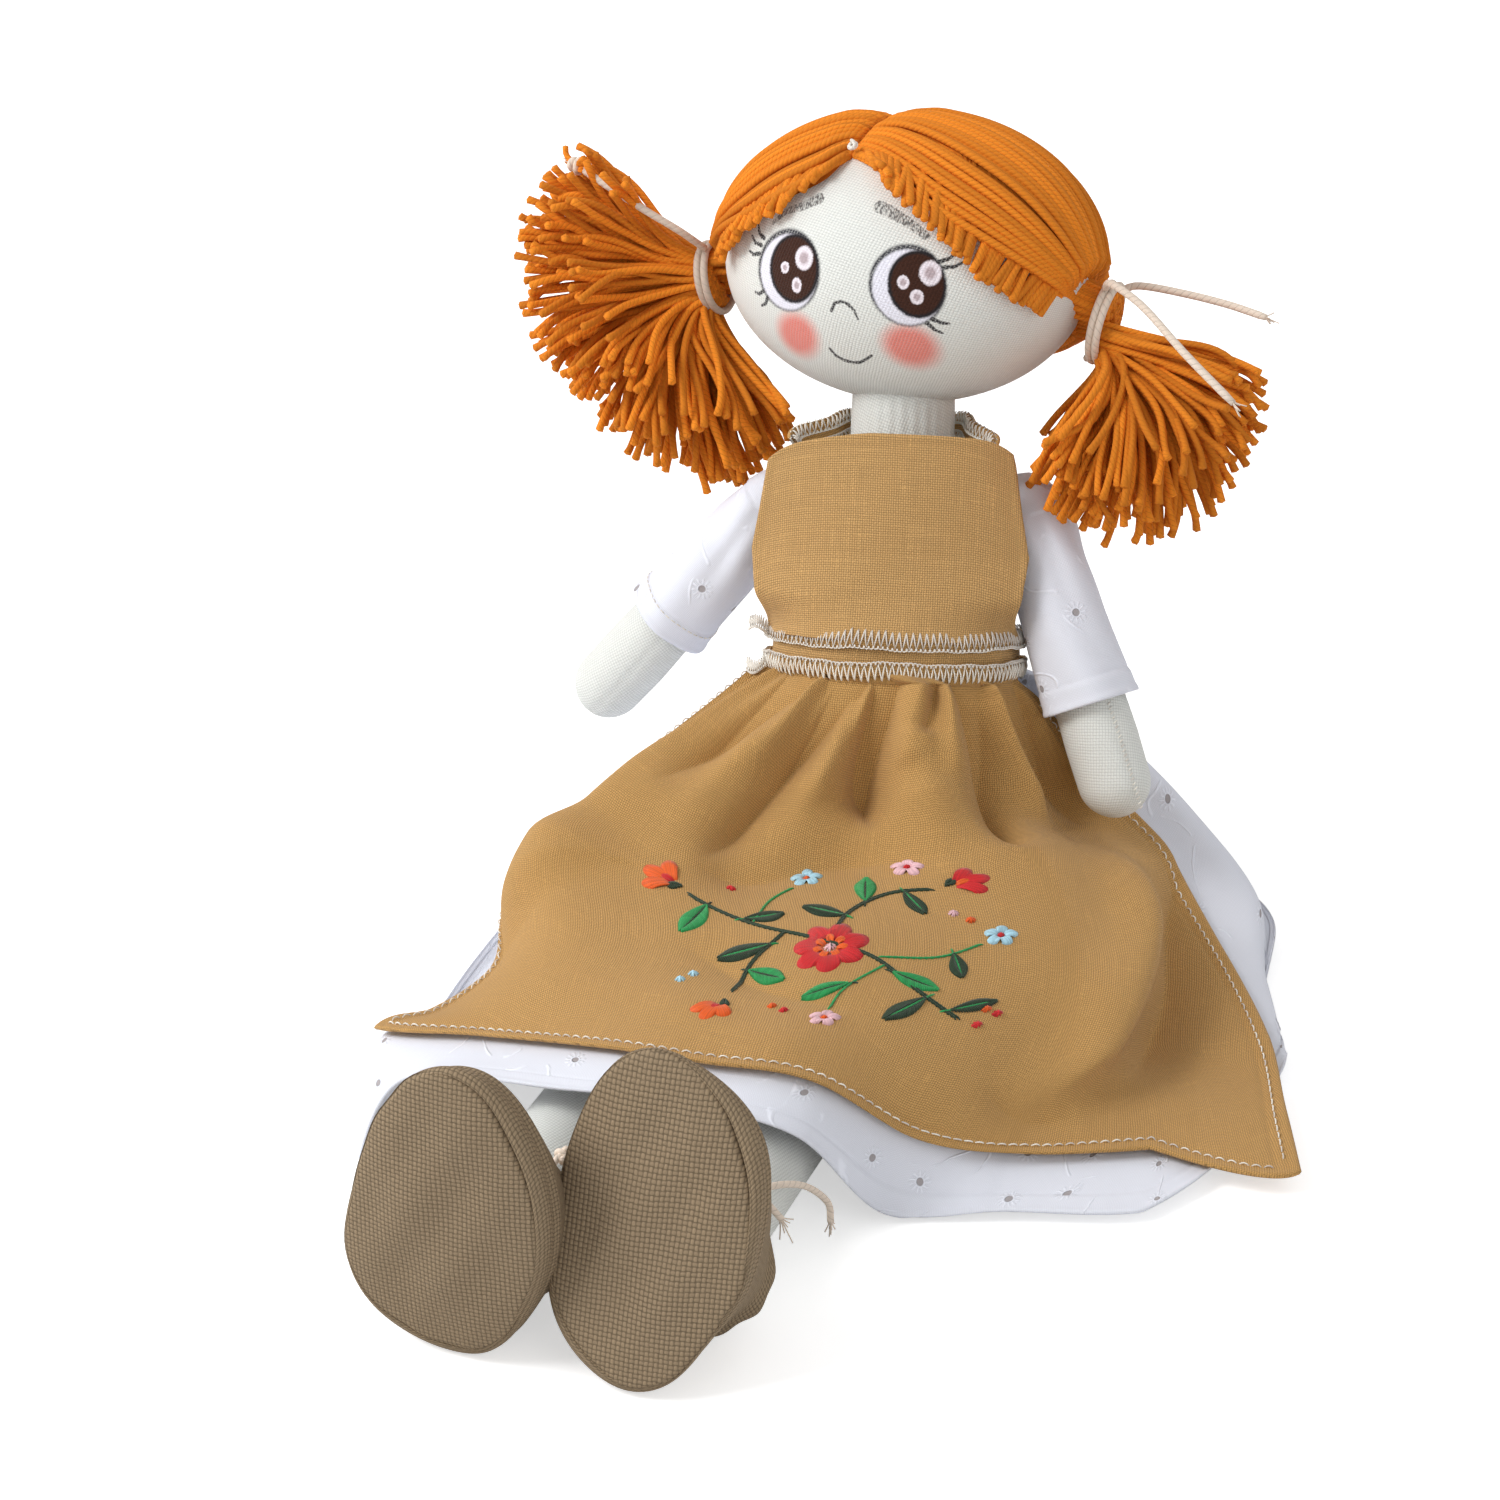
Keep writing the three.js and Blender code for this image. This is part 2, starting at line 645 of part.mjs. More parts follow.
function bibPoint(u, v, layer) {
  const height = WAIST_HIGH + 2 * CLEAR + 1 + (BIB_TOP - WAIST_HIGH - 1) * v;
  const x = (2 * u - 1) * bibHalfWidth(height);
  const front = depthAt(Math.min(height, BIB_FULLEST)) + bodiceOffset + CLEAR + layer;
  return v3(x, -front + BIB_CURVE * (x / BIB_HALF_WIDTH) ** 2, height);
}

add(
  upper,
  "apron_bib",
  sheet((u, v) => bibPoint(u, 1 - v, APRON_CLOTH), (u, v) => bibPoint(u, 1 - v, 0), 10, 6),
  "linen",
);

// Neck straps from the bib's corners, joined behind the neck

SIDES.forEach(([name, side]) => {
  const corner = bibPoint((side + 1) / 2, 1, -4 * CLEAR);
  const path = new THREE.CatmullRomCurve3([
    v3(corner.x - side * STRAP_WIDTH * 0.55, corner.y, corner.z - 5),
    v3(side * 23, -13, BIB_TOP + 1),
    v3(side * 19.5, 2, BIB_TOP + 0.5),
    v3(side * 11, 16, BIB_TOP - 1),
    v3(side * CLEAR, 18.5, BIB_TOP - 2),
  ]);
  const surface = (layer) => (u, v) => {
    const along = path.getTangent(v).normalize();
    const flat = v3(side * 0.15, 0.1, 1).addScaledVector(along, -along.dot(v3(side * 0.15, 0.1, 1))).normalize();
    const normal = new THREE.Vector3().crossVectors(along, flat).multiplyScalar(side);
    const middle = path.getPoint(v).addScaledVector(normal, layer);
    return middle.addScaledVector(flat, side * (u - 0.5) * STRAP_WIDTH);
  };
  add(upper, "apron_strap_" + name, sheet(surface(0.5), surface(-0.5), 2, 9), "linen");
});

// Legs and shoes. Each leg has a frame at its hip pivot with +Z down the leg and +Y towards the floor.

const thighAt = profile([
  [0, THIGH_WIDTH / 2],
  [0.35 * LEG_LENGTH, THIGH_WIDTH / 2 - 0.6],
  [LEG_LENGTH + FOOT_OVERLAP, ANKLE_WIDTH / 2],
]);

function legForm(offset) {
  const round = THIGH_WIDTH / 2;
  const form = limb(thighAt, LEG_LENGTH + FOOT_OVERLAP + round, round, 3, 3, LEG_FACETS, offset);
  form.translate(0, 0, -round);
  return toSolid(form);
}

// The foot and its shoe run through egg-shaped rings from the sole back to the ankle. Each entry holds the
// distance behind the sole, the height of the ring's low and high ends above the floor, its width, and how
// much of the sole's tilt it keeps.
const SHOE_RINGS = [
  [0, 1.5, SHOE_LENGTH - 3, SHOE_WIDTH - 6, 1],
  [2, 0, SHOE_LENGTH - 0.5, SHOE_WIDTH - 1.5, 1],
  [9, -FLATTENED, SHOE_LENGTH - 1, SHOE_WIDTH, 0.95],
  [17, -FLATTENED, SHOE_LENGTH - 15, SHOE_WIDTH - 3, 0.8],
  [26, 0, SHOE_LENGTH - 32, SHOE_WIDTH - 9, 0.5],
  [SHOE_DEPTH - 5, 1.2, HIP_HEIGHT + ANKLE_WIDTH / 2 + 3.8, ANKLE_WIDTH + 7, 0.1],
  [SHOE_DEPTH, 2.4, HIP_HEIGHT + ANKLE_WIDTH / 2 + 2.8, ANKLE_WIDTH + 5.6, 0],
];

function shoeForm(offset, name) {
  const made = SHOE_RINGS.map(([depth, low, high, width, keep]) => {
    const tilt = rad(TOE_BACK[name]) * keep;
    const half = (high - low) / 2 + offset;
    const behind = Math.max(depth, -offset);
    return Array.from({ length: SHOE_FACETS }, (_, k) => {
      const t = (2 * Math.PI * k) / SHOE_FACETS;
      const up = low - offset + half * (1 - Math.cos(t));
      const x = (width / 2 + offset) * Math.sin(t) * (1 + 0.14 * keep * Math.cos(t));
      const y = -SHOE_DEPTH + behind + Math.sin(tilt) * up;
      return v3(x, y, -HIP_HEIGHT + Math.cos(tilt) * up);
    });
  });
  return toSolid(loft(made.map((r) => r.reverse())));
}

function legYaw(name) {
  return Math.atan2(FEET_OUT[name], LEG_LENGTH);
}

function frontOf(distance, name) {
  const slab = new THREE.BoxGeometry(CUTTER, CUTTER, CUTTER);
  slab.translate(0, distance - CUTTER / 2, 0);
  slab.rotateX(-rad(TOE_BACK[name]));
  slab.translate(0, -SHOE_DEPTH, -HIP_HEIGHT);
  return toSolid(slab);
}

const ground = new THREE.BoxGeometry(CUTTER, CUTTER, CUTTER);
ground.translate(0, 0, -HIP_HEIGHT - CUTTER / 2);

SIDES.forEach(([name, side]) => {
  const leg = new THREE.Group();
  leg.position.set(side * HIP_SPREAD, HIP_FORWARD, HIP_HEIGHT);
  leg.rotation.z = legYaw(name);
  doll.add(leg);
  const foot = new THREE.Matrix4().makeTranslation(0, -LEG_LENGTH, 0);
  const down = new THREE.Matrix4().makeRotationX(Math.PI / 2);
  const placeLeg = (solid) => toSolid(transformed(toGeometry(solid), down));
  const placeFoot = (solid) => toSolid(transformed(toGeometry(solid), foot));
  const inShoe = SHOE_CLOTH + 2 * CLEAR;
  const body = (offset) => placeLeg(legForm(offset)).add(placeFoot(shoeForm(offset - inShoe, name)));
  const opening = toSolid(new THREE.CylinderGeometry(5, 5, 20, 10).translate(0, THIGH_WIDTH / 2 + 8, 0));
  const skin = body(0).subtract(body(-SKIN)).subtract(opening);
  add(leg, "leg_skin_" + name, toGeometry(biggest(skin)), "skin");
  add(leg, "leg_stuffing_" + name, toGeometry(body(-SKIN - 2 * CLEAR)), "stuffing");
  const outer = shoeForm(0, name).subtract(toSolid(ground));
  const inner = shoeForm(-SHOE_CLOTH, name).add(placeAnkleRoom());
  const sole = outer.intersect(frontOf(SOLE_THICKNESS, name)).subtract(inner);
  const upperPart = outer.subtract(frontOf(SOLE_THICKNESS + CLEAR, name)).subtract(inner);
  add(leg, "shoe_sole_" + name, toGeometry(placeFoot(biggest(sole))), "burlap");
  add(leg, "shoe_upper_" + name, toGeometry(placeFoot(biggest(upperPart))), "burlap");
  const turn = ring(ANKLE_WIDTH / 2 + ANKLE_ROOM + TIE_CORD / 2, TIE_CORD);
  turn.rotateX(Math.PI / 2);
  turn.translate(0, -LEG_LENGTH + CLEAR + TIE_CORD / 2, 0);
  add(leg, "shoe_tie_" + name, turn, "twine");
});

function placeAnkleRoom() {
  const radius = ANKLE_WIDTH / 2 + ANKLE_ROOM;
  const room = new THREE.CylinderGeometry(radius, radius, 30, 14);
  room.translate(0, 5, 0);
  return toSolid(room);
}

// Skirts: one surface hangs from the waist, over the lap and down to the floor. Its columns run round the
// doll from the apron's right-hand corner over the lap and back behind the seat. Each holds the angle, seen
// from above, where it leaves the waist and six points from under the waist to the hem of the dress.
const SKIRT_COLUMNS = [
  {
    at: -168,
    points: [[-55, -34, 50], [-66, -58, 30], [-66, -86, 20], [-72, -112, 19], [-80, -126, 20], [-71, -156, 3]],
  },
  {
    at: -150,
    points: [[-50, -38, 59], [-60, -66, 46], [-47, -94, 39], [-42, -118, 35], [-48, -135, 30], [-59, -154, 28]],
  },
  {
    at: -130,
    points: [[-30, -37, 60], [-34, -64, 47], [-22, -92, 42], [-12, -120, 41], [-9, -143, 40], [-14, -158, 38]],
  },
  {
    at: -108,
    points: [[-11, -30, 59], [-11, -54, 46], [6, -84, 43], [13, -118, 42], [15, -142, 41], [15, -156, 40]],
  },
  {
    at: -88,
    points: [[7, -20, 57], [11, -40, 45], [29, -77, 43], [35, -112, 40], [38, -133, 37], [41, -147, 32]],
  },
  {
    at: -68,
    points: [[23, -14, 56], [38, -34, 45], [54, -66, 37], [59, -100, 27], [58, -115, 17], [56, -128, 3]],
  },
  {
    at: -48,
    points: [[37, -4, 52], [60, -20, 42], [77, -49, 29], [79, -78, 14], [80, -100, 8], [82, -116, 3]],
  },
  {
    at: -28,
    points: [[48, 14, 38], [70, 2, 33], [87, -15, 18], [98, -46, 8], [107, -79, 5], [113, -103, 3]],
  },
  { at: -8, points: [[58, 36, 36], [77, 30, 23], [98, 8, 12], [120, -22, 5], [134, -53, 4], [144, -75, 3]] },
  { at: 18, points: [[56, 50, 42], [74, 50, 26], [90, 46, 12], [100, 32, 5], [109, 12, 3], [114, -8, 3]] },
  { at: 55, points: [[34, 60, 42], [48, 66, 26], [62, 68, 11], [74, 66, 5], [84, 62, 3], [92, 58, 3]] },
  { at: 90, points: [[-3, 60, 44], [-2, 65, 27], [0, 68, 12], [0, 74, 5], [0, 79, 3], [0, 85, 3]] },
  {
    at: 125,
    points: [[-38, 54, 43], [-50, 59, 26], [-60, 60, 11], [-70, 57, 5], [-78, 53, 3], [-85, 48, 3]],
  },
  {
    at: 155,
    points: [[-50, 20, 46], [-62, 12, 30], [-72, 3, 14], [-80, -8, 5], [-86, -17, 3], [-91, -24, 3]],
  },
  {
    at: 175,
    points: [[-56, -10, 47], [-65, -26, 31], [-71, -45, 15], [-78, -66, 6], [-82, -86, 4], [-82, -108, 4]],
  },
];
const APRON_LAST = 8;
const APRON_ENDS = [5, 5, 5, 5, 5, 5, 5, 5.1, 6];
const DRESS_ENDS = [6, 6, 6, 6, 6, 6, 6, 6, 4.4, 5.6, 6, 6, 6, 6, 6];

const skirtRing = bodiceOffset + CLEAR;

function waistPoint(angle) {
  const t = rad(angle - TORSO_TURN);
  const height = WAIST_LOW - 5 * CLEAR;
  const p = v3(
    (halfWidthAt(height) + skirtRing) * Math.cos(t),
    (depthAt(height) + skirtRing) * Math.sin(t),
    height,
  );
  return p.applyMatrix4(upperWorld);
}

const skirtCurves = SKIRT_COLUMNS.map(({ at, points }) => {
  const scaled = points.map(([x, y, z]) => v3(x, y, (z * HIP_HEIGHT) / 17));
  return new THREE.CatmullRomCurve3([waistPoint(at), ...scaled], false, "centripetal");
});

// The value of a periodic list between its entries.
function between(list, place) {
  const n = list.length;
  const i = Math.floor(place);
  const f = place - i;
  const pick = (k) => list[((k % n) + n) % n];
  const [a, b, c, d] = [pick(i - 1), pick(i), pick(i + 1), pick(i + 2)];
  const blend = (p, q, r, s) =>
    0.5 * (2 * q + (r - p) * f + (2 * p - 5 * q + 4 * r - s) * f * f + (3 * q - p - 3 * r + s) * f * f * f);
  if (typeof a === "number") return blend(a, b, c, d);
  return v3(blend(a.x, b.x, c.x, d.x), blend(a.y, b.y, c.y, d.y), blend(a.z, b.z, c.z, d.z));
}

const HEM = SKIRT_COLUMNS[0].points.length;

function skirtPoint(column, row) {
  const rows = skirtCurves.map((curve) => curve.getPoint(Math.min(row / HEM, 1)));
  return between(rows, column);
}

function skirtNormal(column, row) {
  const step = 0.15;
  const r = Math.min(Math.max(row, step), HEM - step);
  const across = skirtPoint(column + step, r).sub(skirtPoint(column - step, r));
  const down = skirtPoint(column, r + step).sub(skirtPoint(column, r - step));
  return down.cross(across).normalize();
}

function skirtSurface(layer, columnAt, endAt) {
  return (u, v) => {
    const column = columnAt(u);
    const row = v * endAt(column);
    return skirtPoint(column, row).addScaledVector(skirtNormal(column, row), layer);
  };
}

const dressColumns = (u) => u * SKIRT_COLUMNS.length;
const dressEnd = (column) => Math.min(HEM, between(DRESS_ENDS, column));
const dressFace = skirtSurface(0, dressColumns, dressEnd);
const dressBack = skirtSurface(-DRESS_CLOTH, dressColumns, dressEnd);
const dressSkirt = sheet(dressFace, dressBack, SKIRT_FACETS.around, SKIRT_FACETS.down, true);
add(doll, "dress_skirt", dressSkirt, "dress");

const apronColumns = (u) => u * APRON_LAST;
const apronEnd = (column) => {
  const i = Math.min(Math.floor(column), APRON_LAST - 1);
  return THREE.MathUtils.lerp(APRON_ENDS[i], APRON_ENDS[i + 1], column - i);
};
const apronFace = skirtSurface(CLOTH_GAP + APRON_CLOTH, apronColumns, apronEnd);
const apronBack = skirtSurface(CLOTH_GAP, apronColumns, apronEnd);
const apronSkirt = sheet(apronFace, apronBack, APRON_FACETS.across, APRON_FACETS.down);
add(doll, "apron_skirt", apronSkirt, "linen");

export default doll;
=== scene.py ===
"""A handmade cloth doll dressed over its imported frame. Bare lengths are millimetres and become metres in each mesh."""

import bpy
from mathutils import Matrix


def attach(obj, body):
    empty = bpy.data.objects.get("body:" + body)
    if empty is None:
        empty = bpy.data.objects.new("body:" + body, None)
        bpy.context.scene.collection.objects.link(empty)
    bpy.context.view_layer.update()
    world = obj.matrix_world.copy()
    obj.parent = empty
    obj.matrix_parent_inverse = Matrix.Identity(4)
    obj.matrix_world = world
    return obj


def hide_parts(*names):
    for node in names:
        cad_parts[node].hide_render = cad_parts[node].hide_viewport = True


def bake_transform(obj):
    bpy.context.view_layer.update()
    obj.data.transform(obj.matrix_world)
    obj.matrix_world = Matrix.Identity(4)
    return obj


bl_info = {
    "name": "Handmade Cloth Doll",
    "version": (1, 0, 0),
    "blender": (4, 5, 0),
    "location": "View3D > Sidebar > Doll",
    "description": "Sews a sitting cloth doll with yarn hair, an eyelet dress and a linen apron",
    "category": "Object",
}

import functools
import math
import random

import bpy
import numpy as np
from mathutils import Matrix, Vector

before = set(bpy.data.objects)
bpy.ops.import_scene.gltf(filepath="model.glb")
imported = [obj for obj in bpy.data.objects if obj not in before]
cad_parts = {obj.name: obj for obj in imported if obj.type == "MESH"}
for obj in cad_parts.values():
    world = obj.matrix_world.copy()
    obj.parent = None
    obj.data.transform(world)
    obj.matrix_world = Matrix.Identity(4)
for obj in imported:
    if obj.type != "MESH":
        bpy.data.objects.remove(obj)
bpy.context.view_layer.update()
MM = 0.001


# Places shared by several pieces


def turned(degrees, axis):
    return Matrix.Rotation(math.radians(degrees), 4, axis)


LEAN_BACK = 19
HEAD_SIZE = np.array([50.0, 38.0, 37.0])
HEAD_MIDDLE_SIZE = 42
HIP = Vector((0, -22, 17))
UPPER = Matrix.Translation((7.6, -3, 0)) @ turned(-6.5, "Y") @ turned(-LEAN_BACK, "X") @ turned(13, "Z")
HEAD = Matrix.Translation(UPPER @ Vector((0, 0, 184))) @ turned(-4, "Y") @ turned(-LEAN_BACK, "X")
TIES = {"left": np.array([55.0, 3.0, -12.0]), "right": np.array([-56.0, 2.0, -8.0])}
TIE_RADIUS = {"left": 9.0, "right": 8.0}
TORSO_PROFILE = [
    (-14, 31), (20, 32), (50, 32), (76, 30), (86, 29.5), (100, 26.65), (114, 21.9), (122, 18.3), (133, 14.6)
]
SIDES = {"left": 1, "right": -1}
TOWARDS_CAMERA = turned(23, "Z") @ turned(-27, "X") @ Vector((0, -1, 0))
CAMERA_TARGET = Vector((-10, -55, 81))
CAMERA_DISTANCE = 1050


def length_property(name, description, default, low, high):
    return bpy.props.FloatProperty(
        name=name, description=description, default=default, min=low, max=high, unit="LENGTH"
    )


def count_property(name, description, default):
    return bpy.props.IntProperty(name=name, description=description, default=default, min=20, max=500)


class DollSizes(bpy.types.PropertyGroup):
    """Sizes of the cloth, yarn and thread"""

    yarn: length_property("Yarn", "Thickness of one strand of hair", 0.0021, 0.001, 0.004)
    twine: length_property("Twine", "Thickness of the ties", 0.002, 0.001, 0.004)
    linen_thread: length_property("Linen thread", "Spacing of the apron's threads", 0.00062, 0.0002, 0.002)
    burlap_thread: length_property("Burlap thread", "Spacing of the shoes' threads", 0.00115, 0.0005, 0.003)
    left_strands: count_property("Left bunch strands", "Strands in the bunch on the doll's left", 210)
    right_strands: count_property("Right bunch strands", "Strands in the bunch on the doll's right", 340)


def colour_property(name, description, default):
    return bpy.props.FloatVectorProperty(
        name=name, description=description, default=default, size=3, min=0, max=1, subtype="COLOR"
    )


class DollColours(bpy.types.PropertyGroup):
    """Colours of the materials, in linear light"""

    yarn: colour_property("Yarn", "Sunlit side of the hair", (0.77, 0.235, 0.018))
    skin: colour_property("Skin cloth", "Cotton of face and limbs", (0.81, 0.822, 0.785))
    cotton: colour_property("Dress cotton", "White cotton of the dress", (0.82, 0.84, 0.92))
    linen: colour_property("Linen", "Apron", (0.62, 0.352, 0.118))
    burlap: colour_property("Burlap", "Shoes", (0.315, 0.232, 0.145))
    twine: colour_property("Twine", "Ties of hair and shoes", (0.80, 0.68, 0.57))
    thread: colour_property("Seam thread", "Overlock and hem stitches", (0.95, 0.87, 0.79))


# Meshes


def deselect():
    for o in bpy.context.selected_objects:
        o.select_set(False)


def unit(v):
    """The direction of one vector, or of each row."""
    return v / np.linalg.norm(v, axis=-1, keepdims=True)


def hump(x, middle, width):
    """A bell curve, 1 at the middle."""
    return np.exp(-(((x - middle) / width) ** 2))


def eased(x):
    """x held from 0 to 1, with a soft start and end."""
    x = np.clip(x, 0, 1)
    return x * x * (3 - 2 * x)


def travelled(points):
    """The distance run along a line of points, from its first one."""
    return np.concatenate([[0], np.cumsum(np.linalg.norm(np.diff(points, axis=0), axis=1))])


def sampled(t, at, table):
    """The rows of a table read between its places at, for one t or many."""
    return np.stack([np.interp(t, at, table[:, k]) for k in range(table.shape[1])], -1)


def wound(angle, radius, e1, e2):
    """Offsets round a circle that lies in the directions e1 and e2."""
    return np.outer(np.cos(angle) * radius, e1) + np.outer(np.sin(angle) * radius, e2)


def placed(points, matrix=None):
    """Points in millimetres, moved by a matrix in millimetres, as an array."""
    p = np.asarray(points, float).reshape(-1, 3)
    if matrix is None:
        return p
    m = np.array(matrix)
    return p @ m[:3, :3].T + m[:3, 3]


def read(items, key, width, kind=float):
    values = np.empty(len(items) * width, kind)
    items.foreach_get(key, values)
    return values.reshape(-1, width)


def lay_uv(mesh, flat):
    """Sets the UV map from one place in the flat for each point of the mesh."""
    corners = read(mesh.loops, "vertex_index", 1, int)[:, 0]
    mesh.uv_layers.active.data.foreach_set("uv", flat[corners].ravel())


def draped(name, place, across, down, close=False, matrix=None):
    """A grid whose points are laid by place(u, v) with u and v from 0 to 1, in millimetres. Its UV map follows the
    lengths along the cloth, so a thread is as thick everywhere. close merges the seam and the poles."""
    deselect()
    bpy.ops.mesh.primitive_grid_add(x_subdivisions=across, y_subdivisions=down, size=1)
    obj = bpy.context.object
    obj.name = obj.data.name = name
    mesh = obj.data
    u, v = read(mesh.vertices, "co", 3)[:, :2].T + 0.5
    points = placed(place(u, v), matrix)
    mesh.vertices.foreach_set("co", (points * MM).ravel())
    columns, rows = np.round(u * across).astype(int), np.round(v * down).astype(int)
    net = np.empty((columns.max() + 1, rows.max() + 1, 3))
    net[columns, rows] = points
    along = lengths(net)
    around = lengths(net.transpose(1, 0, 2)).T
    around -= around[len(around) // 2]
    lay_uv(mesh, np.stack([around[columns, rows], along[columns, rows]], -1))
    obj.matrix_world = Matrix.Identity(4)
    bpy.ops.object.mode_set(mode="EDIT")
    bpy.ops.mesh.select_all(action="SELECT")
    if close:
        bpy.ops.mesh.remove_doubles(threshold=0.00002)
        bpy.ops.mesh.normals_make_consistent(inside=False)
    bpy.ops.object.mode_set(mode="OBJECT")
    bpy.ops.object.shade_smooth()
    return obj


def lengths(net):
    """The distance run along each row of points, from its first one."""
    return np.array([travelled(row) for row in net])


def thicken(obj, thickness, offset=-1):
    deselect()
    bpy.context.view_layer.objects.active = obj
    obj.select_set(True)
    bpy.ops.object.modifier_add(type="SOLIDIFY")
    modifier = obj.modifiers[-1]
    modifier.thickness, modifier.offset, modifier.use_even_offset = thickness * MM, offset, False
    bpy.ops.object.modifier_apply(modifier=modifier.name)
    return obj


def joined(name, objects):
    deselect()
    for o in objects:
        o.select_set(True)
    bpy.context.view_layer.objects.active = objects[0]
    bpy.ops.object.join()
    obj = bpy.context.object
    obj.name = obj.data.name = name
    return obj


def smooth_path(points, count):
    """count points along a smooth curve through the given ones, evenly by parameter."""
    p = np.asarray(points, float)
    ends = np.vstack([2 * p[0] - p[1], p, 2 * p[-1] - p[-2]])
    t = np.linspace(0, len(p) - 1, count)
    i = np.minimum(t.astype(int), len(p) - 2)
    f = (t - i)[:, None]
    a, b, c, d = (ends[i + k] for k in range(4))
    return 0.5 * (2 * b + (c - a) * f + (2 * a - 5 * b + 4 * c - d) * f**2 + (3 * b - a - 3 * c + d) * f**3)


def strands(name, paths, radius, sides=6, matrix=None, taper=1.0):
    """One mesh of round strands. Its UV map runs along each strand in millimetres and round it from 0 to 1, and its
    tone attribute differs from strand to strand."""
    chooser = random.Random(name)
    verts, faces, uvs, tones = [], [], [], []
    turn = 2 * np.pi * np.arange(sides) / sides
    base = 0
    for path in paths:
        p = placed(path, matrix)
        n = len(p)
        radii = (
            np.full(n, radius) if np.isscalar(radius)
            else np.interp(np.linspace(0, 1, n), np.linspace(0, 1, len(radius)), radius)
        )
        radii = radii * np.where(np.arange(n) == n - 1, taper, 1)
        tangent = np.gradient(p, axis=0)
        tangent /= np.linalg.norm(tangent, axis=1)[:, None] + 1e-12
        side = unit(np.cross(tangent[0], (0.3, 0.2, 1.0)))
        length = travelled(p)
        for k in range(n):
            side = unit(side - tangent[k] * (side @ tangent[k]))
            other = np.cross(tangent[k], side)
            verts.append(p[k] + radii[k] * (np.cos(turn)[:, None] * side + np.sin(turn)[:, None] * other))
        verts.append(p[[0, -1]] + tangent[[0, -1]] * 0.35 * radii[[0, -1]][:, None] * np.array([[-1], [1]]))
        start = chooser.random() * 20
        low, high = base + n * sides, base + n * sides + 1
        run = start + length
        for k in range(n - 1):
            for s in range(sides):
                r = (s + 1) % sides
                ring = base + k * sides
                faces.append((ring + s, ring + r, ring + sides + r, ring + sides + s))
                now, after = s / sides, (s + 1) / sides
                uvs += [(run[k], now), (run[k], after), (run[k + 1], after), (run[k + 1], now)]
        last = base + (n - 1) * sides
        for s in range(sides):
            r = (s + 1) % sides
            now, after = s / sides, (s + 1) / sides
            faces += [(low, base + r, base + s), (high, last + s, last + r)]
            uvs += [(start, 0.5), (start, after), (start, now), (run[-1], 0.5), (run[-1], now), (run[-1], after)]
        base += n * sides + 2
        tones += [chooser.random()] * (n * sides + 2)
    mesh = bpy.data.meshes.new(name)
    mesh.from_pydata((np.vstack(verts) * MM).tolist(), [], faces)
    mesh.uv_layers.new(name="UVMap").data.foreach_set("uv", np.array(uvs).ravel())
    mesh.attributes.new("tone", "FLOAT", "POINT").data.foreach_set("value", tones)
    mesh.shade_smooth()
    obj = bpy.data.objects.new(name, mesh)
    bpy.context.collection.objects.link(obj)
    return obj


def dress_piece(obj, cloth, *nodes, body=None):
    """Gives a piece its material, hides the solids that it stands for and hangs it on its body."""
    obj.data.materials.clear()
    obj.data.materials.append(material(cloth))
    if nodes:
        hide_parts(*nodes)
    if body:
        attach(obj, body)
    return obj


# Shader helpers


def linked(tree, kind, inputs=(), **settings):
    """A node whose inputs are values or sockets, given by name or number."""
    node = tree.nodes.new(kind)
    for key, value in settings.items():
        setattr(node, key, value)
    for key, value in dict(inputs).items():
        if isinstance(value, bpy.types.NodeSocket):
            tree.links.new(value, node.inputs[key])
        else:
            node.inputs[key].default_value = value
    return node


def product(tree, *values):
    result = values[0]
    for value in values[1:]:
        result = calc(tree, "MULTIPLY", result, value)
    return result


def largest(tree, *values):
    result = values[0]
    for value in values[1:]:
        result = calc(tree, "MAXIMUM", result, value)
    return result


def noise(tree, vector, scale, detail=2.0):
    return linked(tree, "ShaderNodeTexNoise", {"Vector": vector, "Scale": scale, "Detail": detail}).outputs


def ripple(tree, value):
    """Rises and falls between 0 and 1, once for each whole number."""
    return calc(tree, "ABSOLUTE", calc(tree, "SINE", calc(tree, "MULTIPLY", value, math.pi)))


def dot(tree, a, b, c, d):
    """a * b + c * d"""
    return calc(tree, "ADD", calc(tree, "MULTIPLY", a, b), calc(tree, "MULTIPLY", c, d))


def calc(tree, operation, a, b=0.0, c=0.0, clamp=False):
    return linked(tree, "ShaderNodeMath", {0: a, 1: b, 2: c}, operation=operation, use_clamp=clamp).outputs[0]


def mixed(tree, factor, a, b):
    return linked(tree, "ShaderNodeMix", {0: factor, 6: a, 7: b}, data_type="RGBA").outputs[2]


def tint(colour, share=1.0):
    return tuple(min(1.0, c * share) for c in colour) + (1.0,)


def ramp(tree, value, low, high, start=0.0, finish=1.0):
    """start below low, finish above high, smooth between."""
    inputs = {"Value": value, "From Min": low, "From Max": high, "To Min": start, "To Max": finish}
    return linked(tree, "ShaderNodeMapRange", inputs, interpolation_type="SMOOTHSTEP").outputs[0]


def group(name, inputs):
    """A new node group, and its inputs as sockets to use. A value of None makes a vector."""
    tree = bpy.data.node_groups.new(name, "ShaderNodeTree")
    for label, value in inputs.items():
        kind = "NodeSocketVector" if value is None else "NodeSocketFloat"
        socket = tree.interface.new_socket(name=label, in_out="INPUT", socket_type=kind)
        if value is not None:
            socket.default_value = value
    return tree, tree.nodes.new("NodeGroupInput").outputs


def finished(tree, **results):
    """Hands a group's results to its outputs and returns it."""
    for label in results:
        tree.interface.new_socket(name=label, in_out="OUTPUT", socket_type="NodeSocketFloat")
    node = tree.nodes.new("NodeGroupOutput")
    for label, socket in results.items():
        tree.links.new(socket, node.inputs[label])
    return tree


